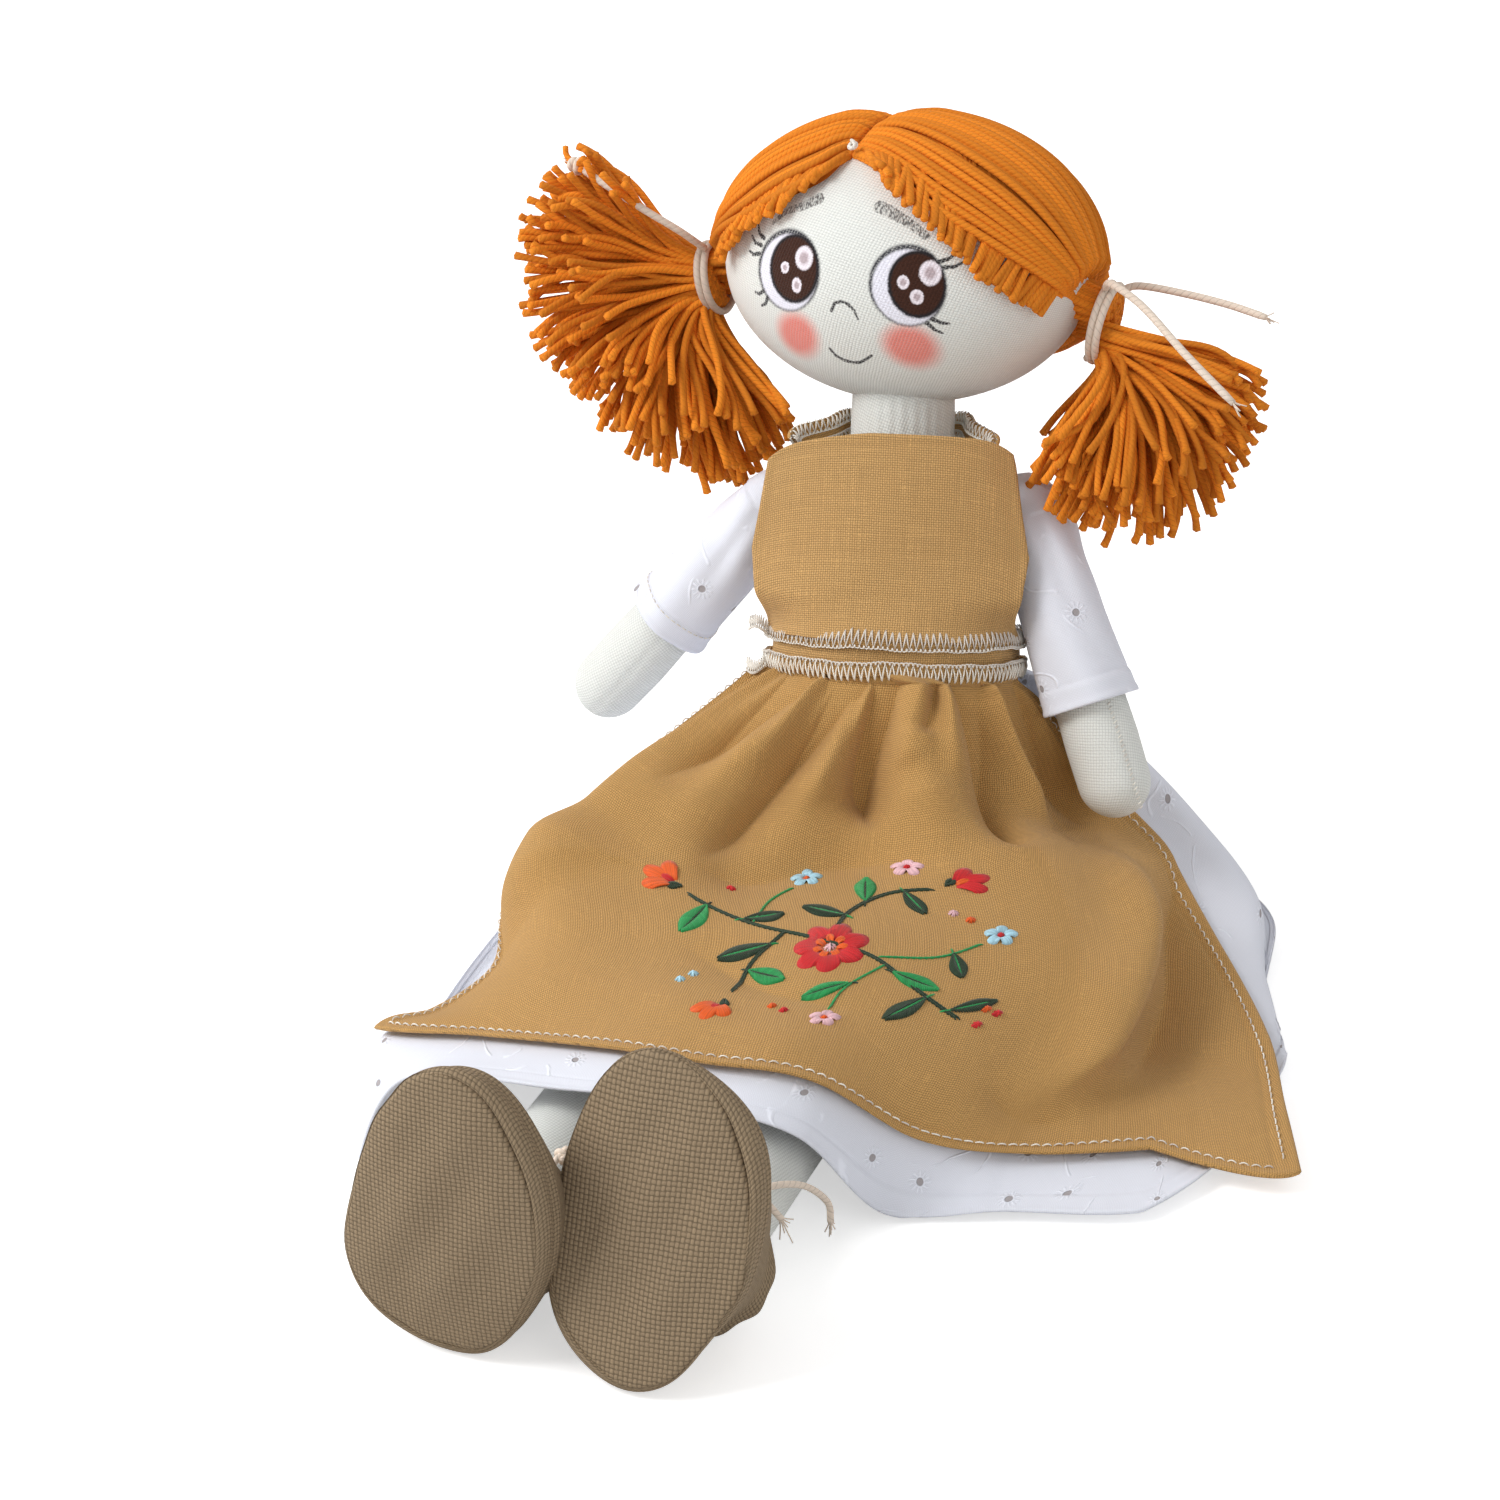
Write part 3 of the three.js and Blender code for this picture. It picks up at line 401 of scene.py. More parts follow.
def weave_group():
    """Plain weave: warp on top in every other cell and weft in the rest. Slub is the unevenness of single threads."""
    tree, given = group("Plain weave", {"Vector": None, "Spacing": 1.0})
    wobble = noise(tree, given["Vector"], 0.22)["Color"]
    shift = linked(tree, "ShaderNodeVectorMath", {0: wobble, 1: (0.5, 0.5, 0.5)}, operation="SUBTRACT").outputs[0]
    moving = {0: shift, 1: (0.45, 0.45, 0.0), 2: given["Vector"]}
    moved = linked(tree, "ShaderNodeVectorMath", moving, operation="MULTIPLY_ADD").outputs[0]
    parts = linked(tree, "ShaderNodeSeparateXYZ", {0: moved}).outputs
    u, v = (calc(tree, "DIVIDE", parts[k], given["Spacing"]) for k in (0, 1))
    cells = calc(tree, "ADD", calc(tree, "FLOOR", u), calc(tree, "FLOOR", v))
    on_top = calc(tree, "PINGPONG", cells, 1.0)
    across, down = ripple(tree, u), ripple(tree, v)
    warp, weft = (
        product(tree, calc(tree, "POWER", a, 0.6), calc(tree, "MULTIPLY_ADD", b, 0.45, 0.55))
        for a, b in ((across, down), (down, across))
    )
    height = linked(tree, "ShaderNodeMix", {0: on_top, 2: weft, 3: warp}).outputs[0]
    slubs = []
    for scale in ((1.0, 0.04, 1.0), (0.04, 1.0, 1.0)):
        stretched = linked(tree, "ShaderNodeMapping", {"Vector": given["Vector"], "Scale": scale}).outputs[0]
        slubs.append(noise(tree, stretched, 1.5, 3.0)[0])
    which = calc(tree, "MULTIPLY_ADD", on_top, 0.5, 0.25)
    slub = linked(tree, "ShaderNodeMix", {0: which, 2: slubs[1], 3: slubs[0]}).outputs[0]
    return finished(tree, Height=height, Warp=on_top, Slub=slub)


def twist_group():
    """Plies wound round each other along a strand."""
    tree, given = group("Yarn twist", {"Vector": None, "Pitch": 6.0, "Plies": 3.0})
    parts = linked(tree, "ShaderNodeSeparateXYZ", {0: given["Vector"]}).outputs
    along = calc(tree, "DIVIDE", parts[0], given["Pitch"])
    wave = ripple(tree, product(tree, calc(tree, "ADD", along, parts[1]), given["Plies"]))
    fuzz = linked(tree, "ShaderNodeMapping", {"Vector": given["Vector"], "Scale": (2.5, 14.0, 1.0)}).outputs[0]
    return finished(tree, Height=calc(tree, "MULTIPLY_ADD", noise(tree, fuzz, 1.0, 3.0)[0], 0.5, wave))


def spot_group():
    """1 inside an oval on the face and 0 outside, soft by Softness at its edge."""
    numbers = ("X", "Z", "Centre X", "Centre Z", "Half width", "Half height", "Softness")
    tree, g = group("Oval mark", dict.fromkeys(numbers, 1.0))
    x, z = (
        calc(tree, "DIVIDE", calc(tree, "SUBTRACT", g[at], g["Centre " + at]), g[half])
        for at, half in (("X", "Half width"), ("Z", "Half height"))
    )
    far = calc(tree, "SQRT", dot(tree, x, x, z, z))
    low, high = (calc(tree, operation, 1.0, g["Softness"]) for operation in ("SUBTRACT", "ADD"))
    return finished(tree, Mask=ramp(tree, far, low, high, 1.0, 0.0))


def stroke_group():
    """A pencil stroke from one point of the face to another, as wide as Start and End say."""
    numbers = ("X", "Z", "From X", "From Z", "To X", "To Z", "Start", "End")
    tree, g = group("Pencil stroke", dict.fromkeys(numbers, 1.0))

    def less(a, b):
        return calc(tree, "SUBTRACT", a, b)

    px, pz, dx, dz = (less(g[a + k], g["From " + k]) for a in ("", "To ") for k in "XZ")
    t = calc(tree, "DIVIDE", dot(tree, px, dx, pz, dz), dot(tree, dx, dx, dz, dz), clamp=True)
    ex, ez = less(px, product(tree, dx, t)), less(pz, product(tree, dz, t))
    far = calc(tree, "SQRT", dot(tree, ex, ex, ez, ez))
    wide = calc(tree, "ADD", g["Start"], product(tree, t, less(g["End"], g["Start"])))
    return finished(tree, Mask=ramp(tree, less(far, wide), -0.18, 0.18, 1.0, 0.0))


@functools.cache
def effect(name):
    return {"weave": weave_group, "twist": twist_group, "spot": spot_group, "stroke": stroke_group}[name]()


def use(tree, name, inputs):
    """The outputs of an effect's node group put into a tree."""
    return linked(tree, "ShaderNodeGroup", inputs, node_tree=effect(name)).outputs


def cloth_material(name):
    """A new material, its tree and the piece's UV map in millimetres of cloth."""
    made = bpy.data.materials.new(name)
    made.use_nodes = True
    return made, made.node_tree, linked(made.node_tree, "ShaderNodeUVMap", uv_map="UVMap").outputs[0]


def surfaced(made, colour, height, strength, distance, values=()):
    """Gives a material its colour, its relief (distance in millimetres) and other values of its shader."""
    tree = made.node_tree
    into = tree.nodes["Principled BSDF"].inputs
    for key, value in {"Roughness": 0.9, "Specular IOR Level": 0.2, **dict(values)}.items():
        into[key].default_value = value
    bump = linked(tree, "ShaderNodeBump", {"Height": height, "Strength": strength, "Distance": distance * MM})
    tree.links.new(colour, into["Base Color"])
    tree.links.new(bump.outputs[0], into["Normal"])
    return made


def woven_material(name, colour, spacing, bump, slub_share, sheen=0.0):
    """Cloth of visible threads, some of them paler or darker by their slubs, with painted shade in the hollows between
    the threads.
    """
    made, tree, uv = cloth_material(name)
    weave = use(tree, "weave", {"Vector": uv, "Spacing": spacing / MM})
    pair = mixed(tree, weave["Warp"], tint(colour, 0.94), tint(colour, 1.04))
    # Painted shade: the low parts of the weave, between the threads, are darkened to half the colour.
    threads = mixed(tree, ramp(tree, weave["Height"], 0.25, 0.8), tint(colour, 0.5), pair)
    pale, deep = (
        product(tree, ramp(tree, weave["Slub"], low, high), slub_share) for low, high in ((0.54, 0.72), (0.46, 0.34))
    )
    streaked = mixed(tree, deep, mixed(tree, pale, threads, tint(colour, 1.4)), tint(colour, 0.7))
    patch = product(tree, ramp(tree, noise(tree, uv, 0.05, 3.0)[0], 0.3, 0.7), 0.1)
    final = mixed(tree, patch, streaked, tint(colour, 0.85))
    return surfaced(made, final, weave["Height"], 0.6, bump, {"Sheen Weight": sheen})


def strand_tone(tree, colour, low, high):
    """A colour that differs from strand to strand."""
    tone = linked(tree, "ShaderNodeAttribute", attribute_name="tone").outputs["Fac"]
    return mixed(tree, tone, tint(colour, low), tint(colour, high))


def yarn_material(name, colour, pitch, plies, dark):
    """Twisted yarn, with painted shade between the plies. dark is the share of the colour left there."""
    made, tree, uv = cloth_material(name)
    twist = use(tree, "twist", {"Vector": uv, "Pitch": pitch, "Plies": plies})[0]
    # Painted shade: the grooves between the plies are darkened to the share dark of the colour.
    shaded = mixed(tree, ramp(tree, twist, 0.1, 0.7), tint(colour, dark), strand_tone(tree, colour, 0.72, 1.12))
    return surfaced(made, shaded, twist, 0.5, 0.2, {"Sheen Weight": 0.15, "Sheen Tint": tint(colour, 1.3)})


def satin_material(name, colour):
    """Glossy embroidery thread."""
    made, tree, uv = cloth_material(name)
    twist = use(tree, "twist", {"Vector": uv, "Pitch": 1.2, "Plies": 2.0})[0]
    shaded = strand_tone(tree, colour, 0.8, 1.15)
    return surfaced(made, shaded, twist, 0.35, 0.1, {"Roughness": 0.45, "Sheen Weight": 0.2})


def knit_skin_material(name, matrix=None):
    """Cream knit cotton, with painted shade in the knit's hollows. With a matrix it carries the face, drawn in the
    head's own millimetres.
    """
    skin = bpy.context.scene.doll_colours.skin
    made, tree, uv = cloth_material(name)
    slanted = linked(tree, "ShaderNodeMapping", {"Vector": uv, "Rotation": (0, 0, math.radians(18))}).outputs[0]
    height = use(tree, "weave", {"Vector": slanted, "Spacing": 0.8})["Height"]
    # Painted shade: the knit's low parts are darkened to 0.8 of the skin colour.
    colour = mixed(tree, ramp(tree, height, 0.3, 0.85), tint(skin, 0.8), tint(skin))
    if matrix is not None:
        colour = painted_face(tree, colour, matrix, height)
    return surfaced(made, colour, height, 0.6, 0.3, {"Sheen Weight": 0.1})


EYES = [
    {
        "centre": (-19.9, -3.7), "half": (10.1, 10.7), "iris": (-18.0, -3.2), "iris_half": (7.3, 8.4),
        "lights": [(-14.9, -0.3, 2.7, 3.1), (-20.8, -3.1, 1.35, 1.5), (-16.9, -7.4, 1.5, 2.0)]
    },
    {
        "centre": (13.8, -5.2), "half": (9.9, 10.5), "iris": (16.3, -4.8), "iris_half": (6.9, 8.1),
        "lights": [(19.5, -1.7, 2.7, 3.2), (12.9, -4.5, 1.55, 1.8), (16.4, -8.0, 1.7, 1.9)]
    },
]
LASHES = [
    [(-28.7, 3.9), (-30.6, 5.1), (-31.5, 7.5)],
    [(-29.4, 2.1), (-31.5, 2.5), (-33.3, 4.3)],
    [(-29.9, -0.1), (-32.0, -0.5), (-33.7, 0.3)],
    [(-28.3, -9.8), (-29.9, -10.6), (-31.3, -10.2)],
    [(-26.9, -11.4), (-27.9, -13.0), (-29.5, -13.6)],
    [(21.4, 1.3), (23.8, 2.3), (25.7, 4.5)],
    [(22.7, -0.1), (25.1, 0.3), (27.2, 1.7)],
    [(20.1, -13.4), (22.1, -14.2), (23.9, -14.2)],
    [(18.7, -14.6), (20.4, -16.2), (22.1, -16.8)],
]
BROWS = [
    ([(-26.2, 8.1), (-22.6, 11.3), (-18.0, 12.7), (-13.0, 15.1)], 0.55, 1.45),
    ([(4.4, 14.1), (8.9, 12.5), (13.4, 10.3), (17.5, 7.7)], 1.6, 1.0),
]
NOSE = [(-6.7, -13.2), (-5.6, -11.2), (-3.9, -10.6), (-1.9, -11.1), (-0.2, -12.6), (0.7, -14.8)]
MOUTH = [(-9.0, -23.3), (-7.7, -24.9), (-5.5, -26.0), (-3.1, -26.4), (-0.9, -26.1), (0.9, -25.2), (2.7, -24.1)]
BLUSHES = [(-18.4, -20.3, 6.2, 5.5), (13.5, -20.8, 6.8, 5.3)]


def painted_face(tree, base, matrix, knit):
    """Ink, paint and pencil over the cloth: eyes, lashes, brows, nose, mouth and cheeks."""
    inverse = matrix.inverted()
    place = {
        "Vector": linked(tree, "ShaderNodeTexCoord").outputs["Object"],
        "Scale": (1 / MM,) * 3,
        "Rotation": inverse.to_euler("XYZ"),
        "Location": inverse.translation,
    }
    flat = linked(tree, "ShaderNodeMapping", place).outputs[0]
    parts = linked(tree, "ShaderNodeSeparateXYZ", {0: flat}).outputs
    grain = noise(tree, flat, 1.9)[0]
    jitter = calc(tree, "MULTIPLY_ADD", grain, 0.7, -0.35)
    x, z = (calc(tree, "ADD", parts[k], jitter) for k in (0, 2))
    front = calc(tree, "LESS_THAN", parts[1], 0.0)

    def oval(centre, half, softness, grow=0.0, shift=0.0):
        values = (x, z, centre[0], centre[1] + shift, half[0] + grow, half[1] + grow, softness)
        return use(tree, "spot", dict(enumerate(values)))[0]

    def line(points, start, end):
        widths = np.linspace(start, end, len(points)).tolist()
        pieces = zip(points, points[1:], widths, widths[1:])
        strokes = (dict(enumerate((x, z, *a, *b, first, last))) for a, b, first, last in pieces)
        return largest(tree, *(use(tree, "stroke", stroke)[0] for stroke in strokes))

    def paint(colour, mask, over):
        return mixed(tree, product(tree, mask, front), over, colour)

    pencil = ramp(tree, dot(tree, grain, 0.8, knit, 0.5), 0.45, 0.75)
    rough = calc(tree, "MULTIPLY_ADD", pencil, 0.55, 0.45)
    for cx, cz, rx, rz in BLUSHES:
        rub = calc(tree, "MULTIPLY_ADD", knit, 0.35, 0.6)
        base = paint((0.80, 0.17, 0.125, 1), product(tree, oval((cx, cz), (rx, rz), 0.42), rub), base)
    for eye in EYES:
        centre, half, iris, iris_half = (eye[key] for key in ("centre", "half", "iris", "iris_half"))
        base = paint((0.045, 0.045, 0.055, 1), product(tree, oval(centre, half, 0.05), rough), base)
        base = paint((0.82, 0.81, 0.90, 1), oval(centre, half, 0.05, grow=-0.95, shift=-0.5), base)
        within = oval(centre, half, 0.03, grow=-0.35)
        brown = mixed(tree, grain, (0.022, 0.007, 0.004, 1), (0.062, 0.020, 0.010, 1))
        for colour, grow in (((0.015, 0.012, 0.014, 1), 0.55), (brown, -0.35)):
            base = paint(colour, product(tree, oval(iris, iris_half, 0.05, grow=grow), within), base)
        for cx, cz, rx, rz in eye["lights"]:
            base = paint((0.85, 0.78, 0.84, 1), oval((cx, cz), (rx, rz), 0.12), base)
            spot = product(tree, oval((cx, cz), (0.5 * rx, 0.5 * rz), 0.4), 0.8)
            base = paint((0.40, 0.30, 0.32, 1), spot, base)
    ink = largest(tree, *(line(points, 0.6, 0.3) for points in LASHES), line(NOSE, 0.42, 0.3), line(MOUTH, 0.42, 0.32))
    base = paint((0.03, 0.028, 0.03, 1), product(tree, ink, rough), base)
    brow = largest(tree, *(line(*brow) for brow in BROWS))
    slant = {"Vector": flat, "Scale": (1.6, 1.0, 0.6), "Rotation": (0, 0.6, 0)}
    hatch = ramp(tree, noise(tree, linked(tree, "ShaderNodeMapping", slant).outputs[0], 1.6, 3.0)[0], 0.38, 0.62)
    return paint((0.075, 0.072, 0.07, 1), product(tree, brow, calc(tree, "MULTIPLY_ADD", hatch, 0.75, 0.15)), base)


EYELET_SCALE = 0.05
EYELET_RAYS = 11.0


def eyelet_material():
    """White cotton with a scatter of small stitched holes, curved sprigs and a fine weave, with painted shade in the
    holes and between the threads.
    """
    cotton = bpy.context.scene.doll_colours.cotton
    made, tree, uv = cloth_material("dress_cotton_eyelet")
    weave = use(tree, "weave", {"Vector": uv, "Spacing": 0.42})["Height"]
    spread = {"Vector": uv, "Scale": EYELET_SCALE, "Randomness": 0.75}
    cells = linked(tree, "ShaderNodeTexVoronoi", spread, voronoi_dimensions="2D").outputs
    far = product(tree, cells["Distance"], 1 / EYELET_SCALE)
    chance = linked(tree, "ShaderNodeSeparateColor", {0: cells["Color"]}).outputs[0]
    chosen = calc(tree, "GREATER_THAN", chance, 0.35)
    hole = product(tree, chosen, ramp(tree, far, 0.8, 1.1, 1.0, 0.0))
    off = linked(tree, "ShaderNodeVectorMath", {0: uv, 1: cells["Position"]}, operation="SUBTRACT").outputs[0]
    side = linked(tree, "ShaderNodeSeparateXYZ", {0: off}).outputs
    turn = product(tree, calc(tree, "ARCTAN2", side[1], side[0]), EYELET_RAYS)
    rays = product(tree, ramp(tree, calc(tree, "SINE", turn), -0.1, 0.5), ramp(tree, far, 2.3, 3.3, 1.0, 0.0))
    bound = largest(tree, rays, ramp(tree, far, 1.3, 1.6, 1.0, 0.0))
    ring = product(tree, bound, chosen, ramp(tree, far, 0.9, 1.15))
    sprig = calc(tree, "ABSOLUTE", calc(tree, "SUBTRACT", noise(tree, uv, 0.035, 1.0)[0], 0.5))
    vine = product(tree, ramp(tree, sprig, 0.0, 0.012, 1.0, 0.0), ramp(tree, noise(tree, uv, 0.09, 3.0)[0], 0.5, 0.56))
    stitched = largest(tree, ring, vine)
    # Painted shade: the weave's low parts are darkened to 0.9 of the cotton.
    plain = mixed(tree, ramp(tree, weave, 0.4, 0.95), tint(cotton, 0.9), tint(cotton))
    # Painted shade: each hole is a flat grey that stands in for the shade seen through it.
    final = mixed(tree, hole, mixed(tree, stitched, plain, tint(cotton, 1.08)), (0.4, 0.37, 0.38, 1))
    low = calc(tree, "SUBTRACT", stitched, product(tree, hole, 2.0))
    return surfaced(made, final, calc(tree, "MULTIPLY_ADD", weave, 0.22, low), 0.7, 0.35)


SATINS = {
    "red": ("embroidery_red", (0.58, 0.018, 0.022)),
    "orange": ("embroidery_orange", (0.75, 0.11, 0.012)),
    "dark green": ("embroidery_dark_green", (0.018, 0.04, 0.018)),
    "green": ("embroidery_green", (0.02, 0.30, 0.08)),
    "blue": ("embroidery_pale_blue", (0.42, 0.68, 0.80)),
    "pink": ("embroidery_pink", (0.80, 0.50, 0.54)),
}
# A paler, more golden copy of the apron's linen, for the bib. On the waistband it is also painted light that makes up
# for the shade in the groove between the two waist seams.
BIB_COLOUR = (0.645, 0.385, 0.15)


@functools.cache
def material(name):
    colours, sizes = bpy.context.scene.doll_colours, bpy.context.scene.doll_sizes
    if name in SATINS:
        return satin_material(*SATINS[name])
    makers = {
        # The last number of each yarn is the share of its colour left as painted shade between the plies.
        "hair": (yarn_material, "hair_yarn", colours.yarn, 4.6, 3.0, 0.66),
        "twine": (yarn_material, "twine_cotton", colours.twine, 4.0, 2.0, 0.62),
        "thread": (yarn_material, "seam_thread_white", colours.thread, 1.4, 2.0, 0.8),
        "skin": (knit_skin_material, "skin_knit"),
        "face": (knit_skin_material, "skin_knit_face", HEAD),
        "linen": (woven_material, "apron_linen_weave", colours.linen, sizes.linen_thread, 0.4, 0.34, 0.1),
        "bib": (woven_material, "apron_bib_weave", BIB_COLOUR, sizes.linen_thread, 0.45, 0.55, 0.1),
        "burlap": (woven_material, "shoe_burlap_weave", colours.burlap, sizes.burlap_thread, 0.6, 0.3),
        "cotton": (eyelet_material,),
    }
    make, *values = makers[name]
    return make(*values)


# Body


def profile_at(pairs, x):
    heights, values = zip(*pairs)
    return np.interp(x, heights, values)


def torso_depth(height):
    return profile_at(TORSO_PROFILE, height) * (0.8 + 0.2 * eased((height - 95) / 38))


def torso_ring(angle, height, offset):
    """A point round the torso, offset from its cloth."""
    at = np.clip(height, TORSO_PROFILE[0][0], TORSO_PROFILE[-1][0])
    return np.stack(
        [
            (profile_at(TORSO_PROFILE, at) + offset) * np.cos(angle), (torso_depth(at) + offset) * np.sin(angle),
            height + 0 * angle
        ],
        -1
    )


def limb_points(u, v, radius_at, length, start, end, squeeze):
    """Points of a stuffed tube with round ends, along +Z from 0 to length. v runs along it."""
    first, straight, last = start * np.pi / 2, length - start - end, end * np.pi / 2
    s = v * (first + straight + last)
    rise, bend = np.clip(s / start, 0, np.pi / 2), np.clip((s - first - straight) / end, 0, np.pi / 2)
    centre = start * (1 - np.cos(rise)) + np.clip(s - first, 0, straight) + end * np.sin(bend)
    radius = radius_at(np.clip(centre, start, length - end)) * np.sin(rise) * np.cos(bend)
    a = 2 * np.pi * u
    return np.stack([radius * np.cos(a), radius * squeeze * np.sin(a), centre], -1)


def stuffed_limb(name, radius_at, length, start, end, matrix, squeeze=1.0, pucker=0.0, across=64):
    """A sewn and stuffed limb with a seam along each side."""

    def place(u, v):
        p = limb_points(u, v, radius_at, length, start, end, squeeze)
        seam = hump(np.minimum(u % 0.5, 0.5 - u % 0.5), 0, 0.012)
        dent = 1 - 0.028 * seam + pucker * seam * np.sin(v * length * 1.3)
        lumps = 1 + 0.012 * np.sin(v * 11 + 2 * np.pi * u) * np.sin(v * 7 + 1)
        p[:, :2] *= (dent * lumps)[:, None]
        return p

    return draped(name, place, across, 90, close=True, matrix=matrix)


def mottled_wave(x, seeds):
    """A smooth wave of several lengths, between about -1 and 1. seeds holds (length, phase, share)."""
    return sum(share * np.sin(2 * np.pi * (x / length + phase)) for length, phase, share in seeds)


class DOLL_OT_camera(bpy.types.Operator):
    """Places the camera at the photograph's viewing angle"""

    bl_idname = "doll.camera"
    bl_label = "Camera"

    def execute(self, context):
        bpy.ops.object.camera_add(location=(CAMERA_TARGET + TOWARDS_CAMERA * CAMERA_DISTANCE) * MM)
        camera = context.object
        camera.data.lens = 100
        camera.data.sensor_width = 36
        camera.rotation_euler = TOWARDS_CAMERA.to_track_quat("Z", "Y").to_euler()
        context.scene.camera = camera
        return {"FINISHED"}


TIE_ENDS = {
    "tie_end_left_front": [(56.4, -4.1, -2.7), (61, -13, -1.5), (72, -20, -6.5), (87, -30, -17), (102, -35, -28)],
    "tie_end_left_back": [(55.3, 11.4, -3.7), (60, 13, -2), (71, 14, -3), (84, 13, -5), (96, 9, -7.5)],
    "tie_end_right": [(-56.3, -5.6, -0.4), (-61, -13, 4), (-70, -17, 9), (-82, -17, 15), (-93, -14, 20)],
}


def tuft(chooser, last, run, count, reach, spread):
    """Fibres that fan out of a cut end of twine."""
    fibres = []
    for _ in range(count):
        off = np.array([chooser.gauss(0, 1) for _ in range(3)])
        points = [last - run] + [last + run * r + off * s for r, s in zip(reach, spread)]
        fibres.append(smooth_path(points, 6))
    return fibres


class DOLL_OT_tie_ends(bpy.types.Operator):
    """Lays the loose ends of the hair ties"""

    bl_idname = "doll.tie_ends"
    bl_label = "Tie ends"

    def execute(self, context):
        thickness = context.scene.doll_sizes.twine
        for name, route in TIE_ENDS.items():
            path = placed(smooth_path(route, 24), HEAD)
            bunch = "bunch_left" if "left" in name else "bunch_right"
            cord = strands(name + "_twine", [path], 0.5 * thickness / MM, 10, taper=0.8)
            dress_piece(cord, "twine", name, body=bunch)
            chooser = random.Random(name)
            last, run = path[-1], unit(path[-1] - path[-3])
            fibres = tuft(chooser, last, run, 9, (0.8, 2.2), (0.35, 0.8))
            fray = strands(name + "_fray", fibres, 0.16, 5)
            dress_piece(fray, "twine", body=bunch)
            pieces = [fray]
            if name == "tie_end_right":
                knot = strands(name + "_knot", [knot_path(last - run * 1.5, run, 2.0)], 0.5 * thickness / MM, 8)
                dress_piece(knot, "twine", body=bunch)
                tip = smooth_path([last, last + run * 2.5 + (0, 0, 1), last + run * 3.5 + (0.5, 0, 3)], 6)
                tip = strands(name + "_yarn", [tip], 0.8, 6)
                dress_piece(tip, "hair", body=bunch)
                pieces += [knot, tip]
        return {"FINISHED"}


def knot_path(centre, axis, size):
    """An overhand knot's loops round an axis."""
    axis = unit(axis)
    e1 = unit(np.cross(axis, (0.2, 0.9, 0.4)))
    t = np.linspace(0, 2 * np.pi * 1.9, 40)
    loops = wound(t, size * (0.62 + 0.2 * np.cos(1.5 * t)), e1, np.cross(axis, e1))
    return centre + loops + np.outer((t / t[-1] - 0.5) * size * 1.3, axis)


def leg_radius(z):
    return np.interp(z, (15, 70, 185), (15.0, 14.4, 12.0))


class DOLL_OT_body(bpy.types.Operator):
    """Stuffs the torso, neck and legs"""

    bl_idname = "doll.body"
    bl_label = "Torso, neck and legs"

    def execute(self, context):
        def torso(u, v):
            height = -14 + 147 * v
            a = 2 * np.pi * u
            p = torso_ring(a, height, 0)
            close = np.clip(np.minimum(v / 0.07, (1 - v) / 0.05), 0, 1)
            share = np.sqrt(np.clip(1 - (1 - close) ** 2, 0, 1))
            p[:, :2] *= share[:, None]
            p = placed(p, UPPER)
            p[:, 2] = np.maximum(p[:, 2], 0.3)
            return p

        body = draped("torso_cloth", torso, 72, 80, close=True)
        dress_piece(body, "skin", "torso_skin", "torso_stuffing", body="torso")

        def neck(u, v):
            a = 2 * np.pi * u
            radius = 13.2 + 0.12 * np.cos(26 * a) + 0.5 * np.sin(np.pi * v)
            return np.stack([radius * np.cos(a), radius * np.sin(a), 120 + 38 * v], -1)

        piece = draped("neck_cloth", neck, 156, 20, close=True, matrix=UPPER)
        dress_piece(piece, "skin", "neck", body="neck")
        for name in SIDES:
            matrix = leg_matrix(name) @ turned(90, "X") @ Matrix.Translation((0, 0, -15))
            leg = stuffed_limb("leg_cloth_" + name, leg_radius, 185, 15, 4, matrix, across=48)
            foot = shoe_surface("foot_cloth_" + name, name, -3.2, 6.0)
            leg = joined("leg_cloth_" + name, [leg, foot])
            dress_piece(leg, "skin", "leg_skin_" + name, "leg_stuffing_" + name, body="leg_" + name)
        return {"FINISHED"}


FEET_OUT = {"left": 10.5, "right": 1.6}
FOOT_REACH = 158
FLOOR_CLEARANCE = 0.4


def leg_matrix(name):
    side = SIDES[name]
    yaw = math.atan2(FEET_OUT[name], FOOT_REACH)
    return Matrix.Translation(HIP + Vector((19 * side, 0, 0))) @ Matrix.Rotation(yaw, 4, "Z")


# Shoes

# Rings of a shoe: depth behind the sole's face, lowest and highest point, width, and share of the toe's lean.
SHOE_RINGS = [
    (0, 1.5, 77, 41, 1),
    (2, 0, 77, 42.5, 1),
    (9, -0.5, 73, 42.5, 0.95),
    (17, -0.5, 61.5, 41, 0.8),
    (26, 0, 48, 38, 0.5),
    (33, 0.5, 34, 35, 0.1),
    (38, 2.4, 31.8, 29.6, 0),
]
# How far each toe leans back, in degrees.
TOE_BACK = {"left": 20, "right": -3}
SHOE_DEPTH = 38
SOLE_MIDDLE = 38
# The hand-cut outline of each sole: across and up.
SOLES = {
    "right": [
        (4, 80.5), (-2, 78), (-8.5, 70.3), (-16, 52.3), (-19.5, 38.7), (-24.1, 25.4), (-24.2, 16.9), (-18.9, 8.9),
        (-7.5, 2.8),
        (8, 2.1), (12, 4.2), (17.5, 14.1), (22.5, 23), (24.3, 38.4), (25, 52.5), (23.6, 61.3), (19.5, 71.5), (13, 79.5),
    ],
    "left": [
        (-13.9, 79.4), (-3.2, 81.1), (8.9, 75.4), (16.5, 69), (21, 62.1), (22.6, 56.9), (19.6, 48.5), (19.7, 35.7),
        (18.8, 25.3), (12.3, 18), (7.6, 7.5), (0.1, 2.3), (-9.2, 3), (-15.7, 7.3), (-23.8, 16.1), (-25.4, 23.7),
        (-24, 34.7), (-22.8, 49.6), (-20.5, 65.6), (-16, 76.5),
    ],
}
# Where the upper's rim shows wider round the sole: direction, width of the stretch (both degrees), extra inset.
RIM_WIDE = {"right": [(125, 40, 3.2), (340, 50, 2.2)], "left": [(125, 28, 4.0), (315, 40, 2.0)]}


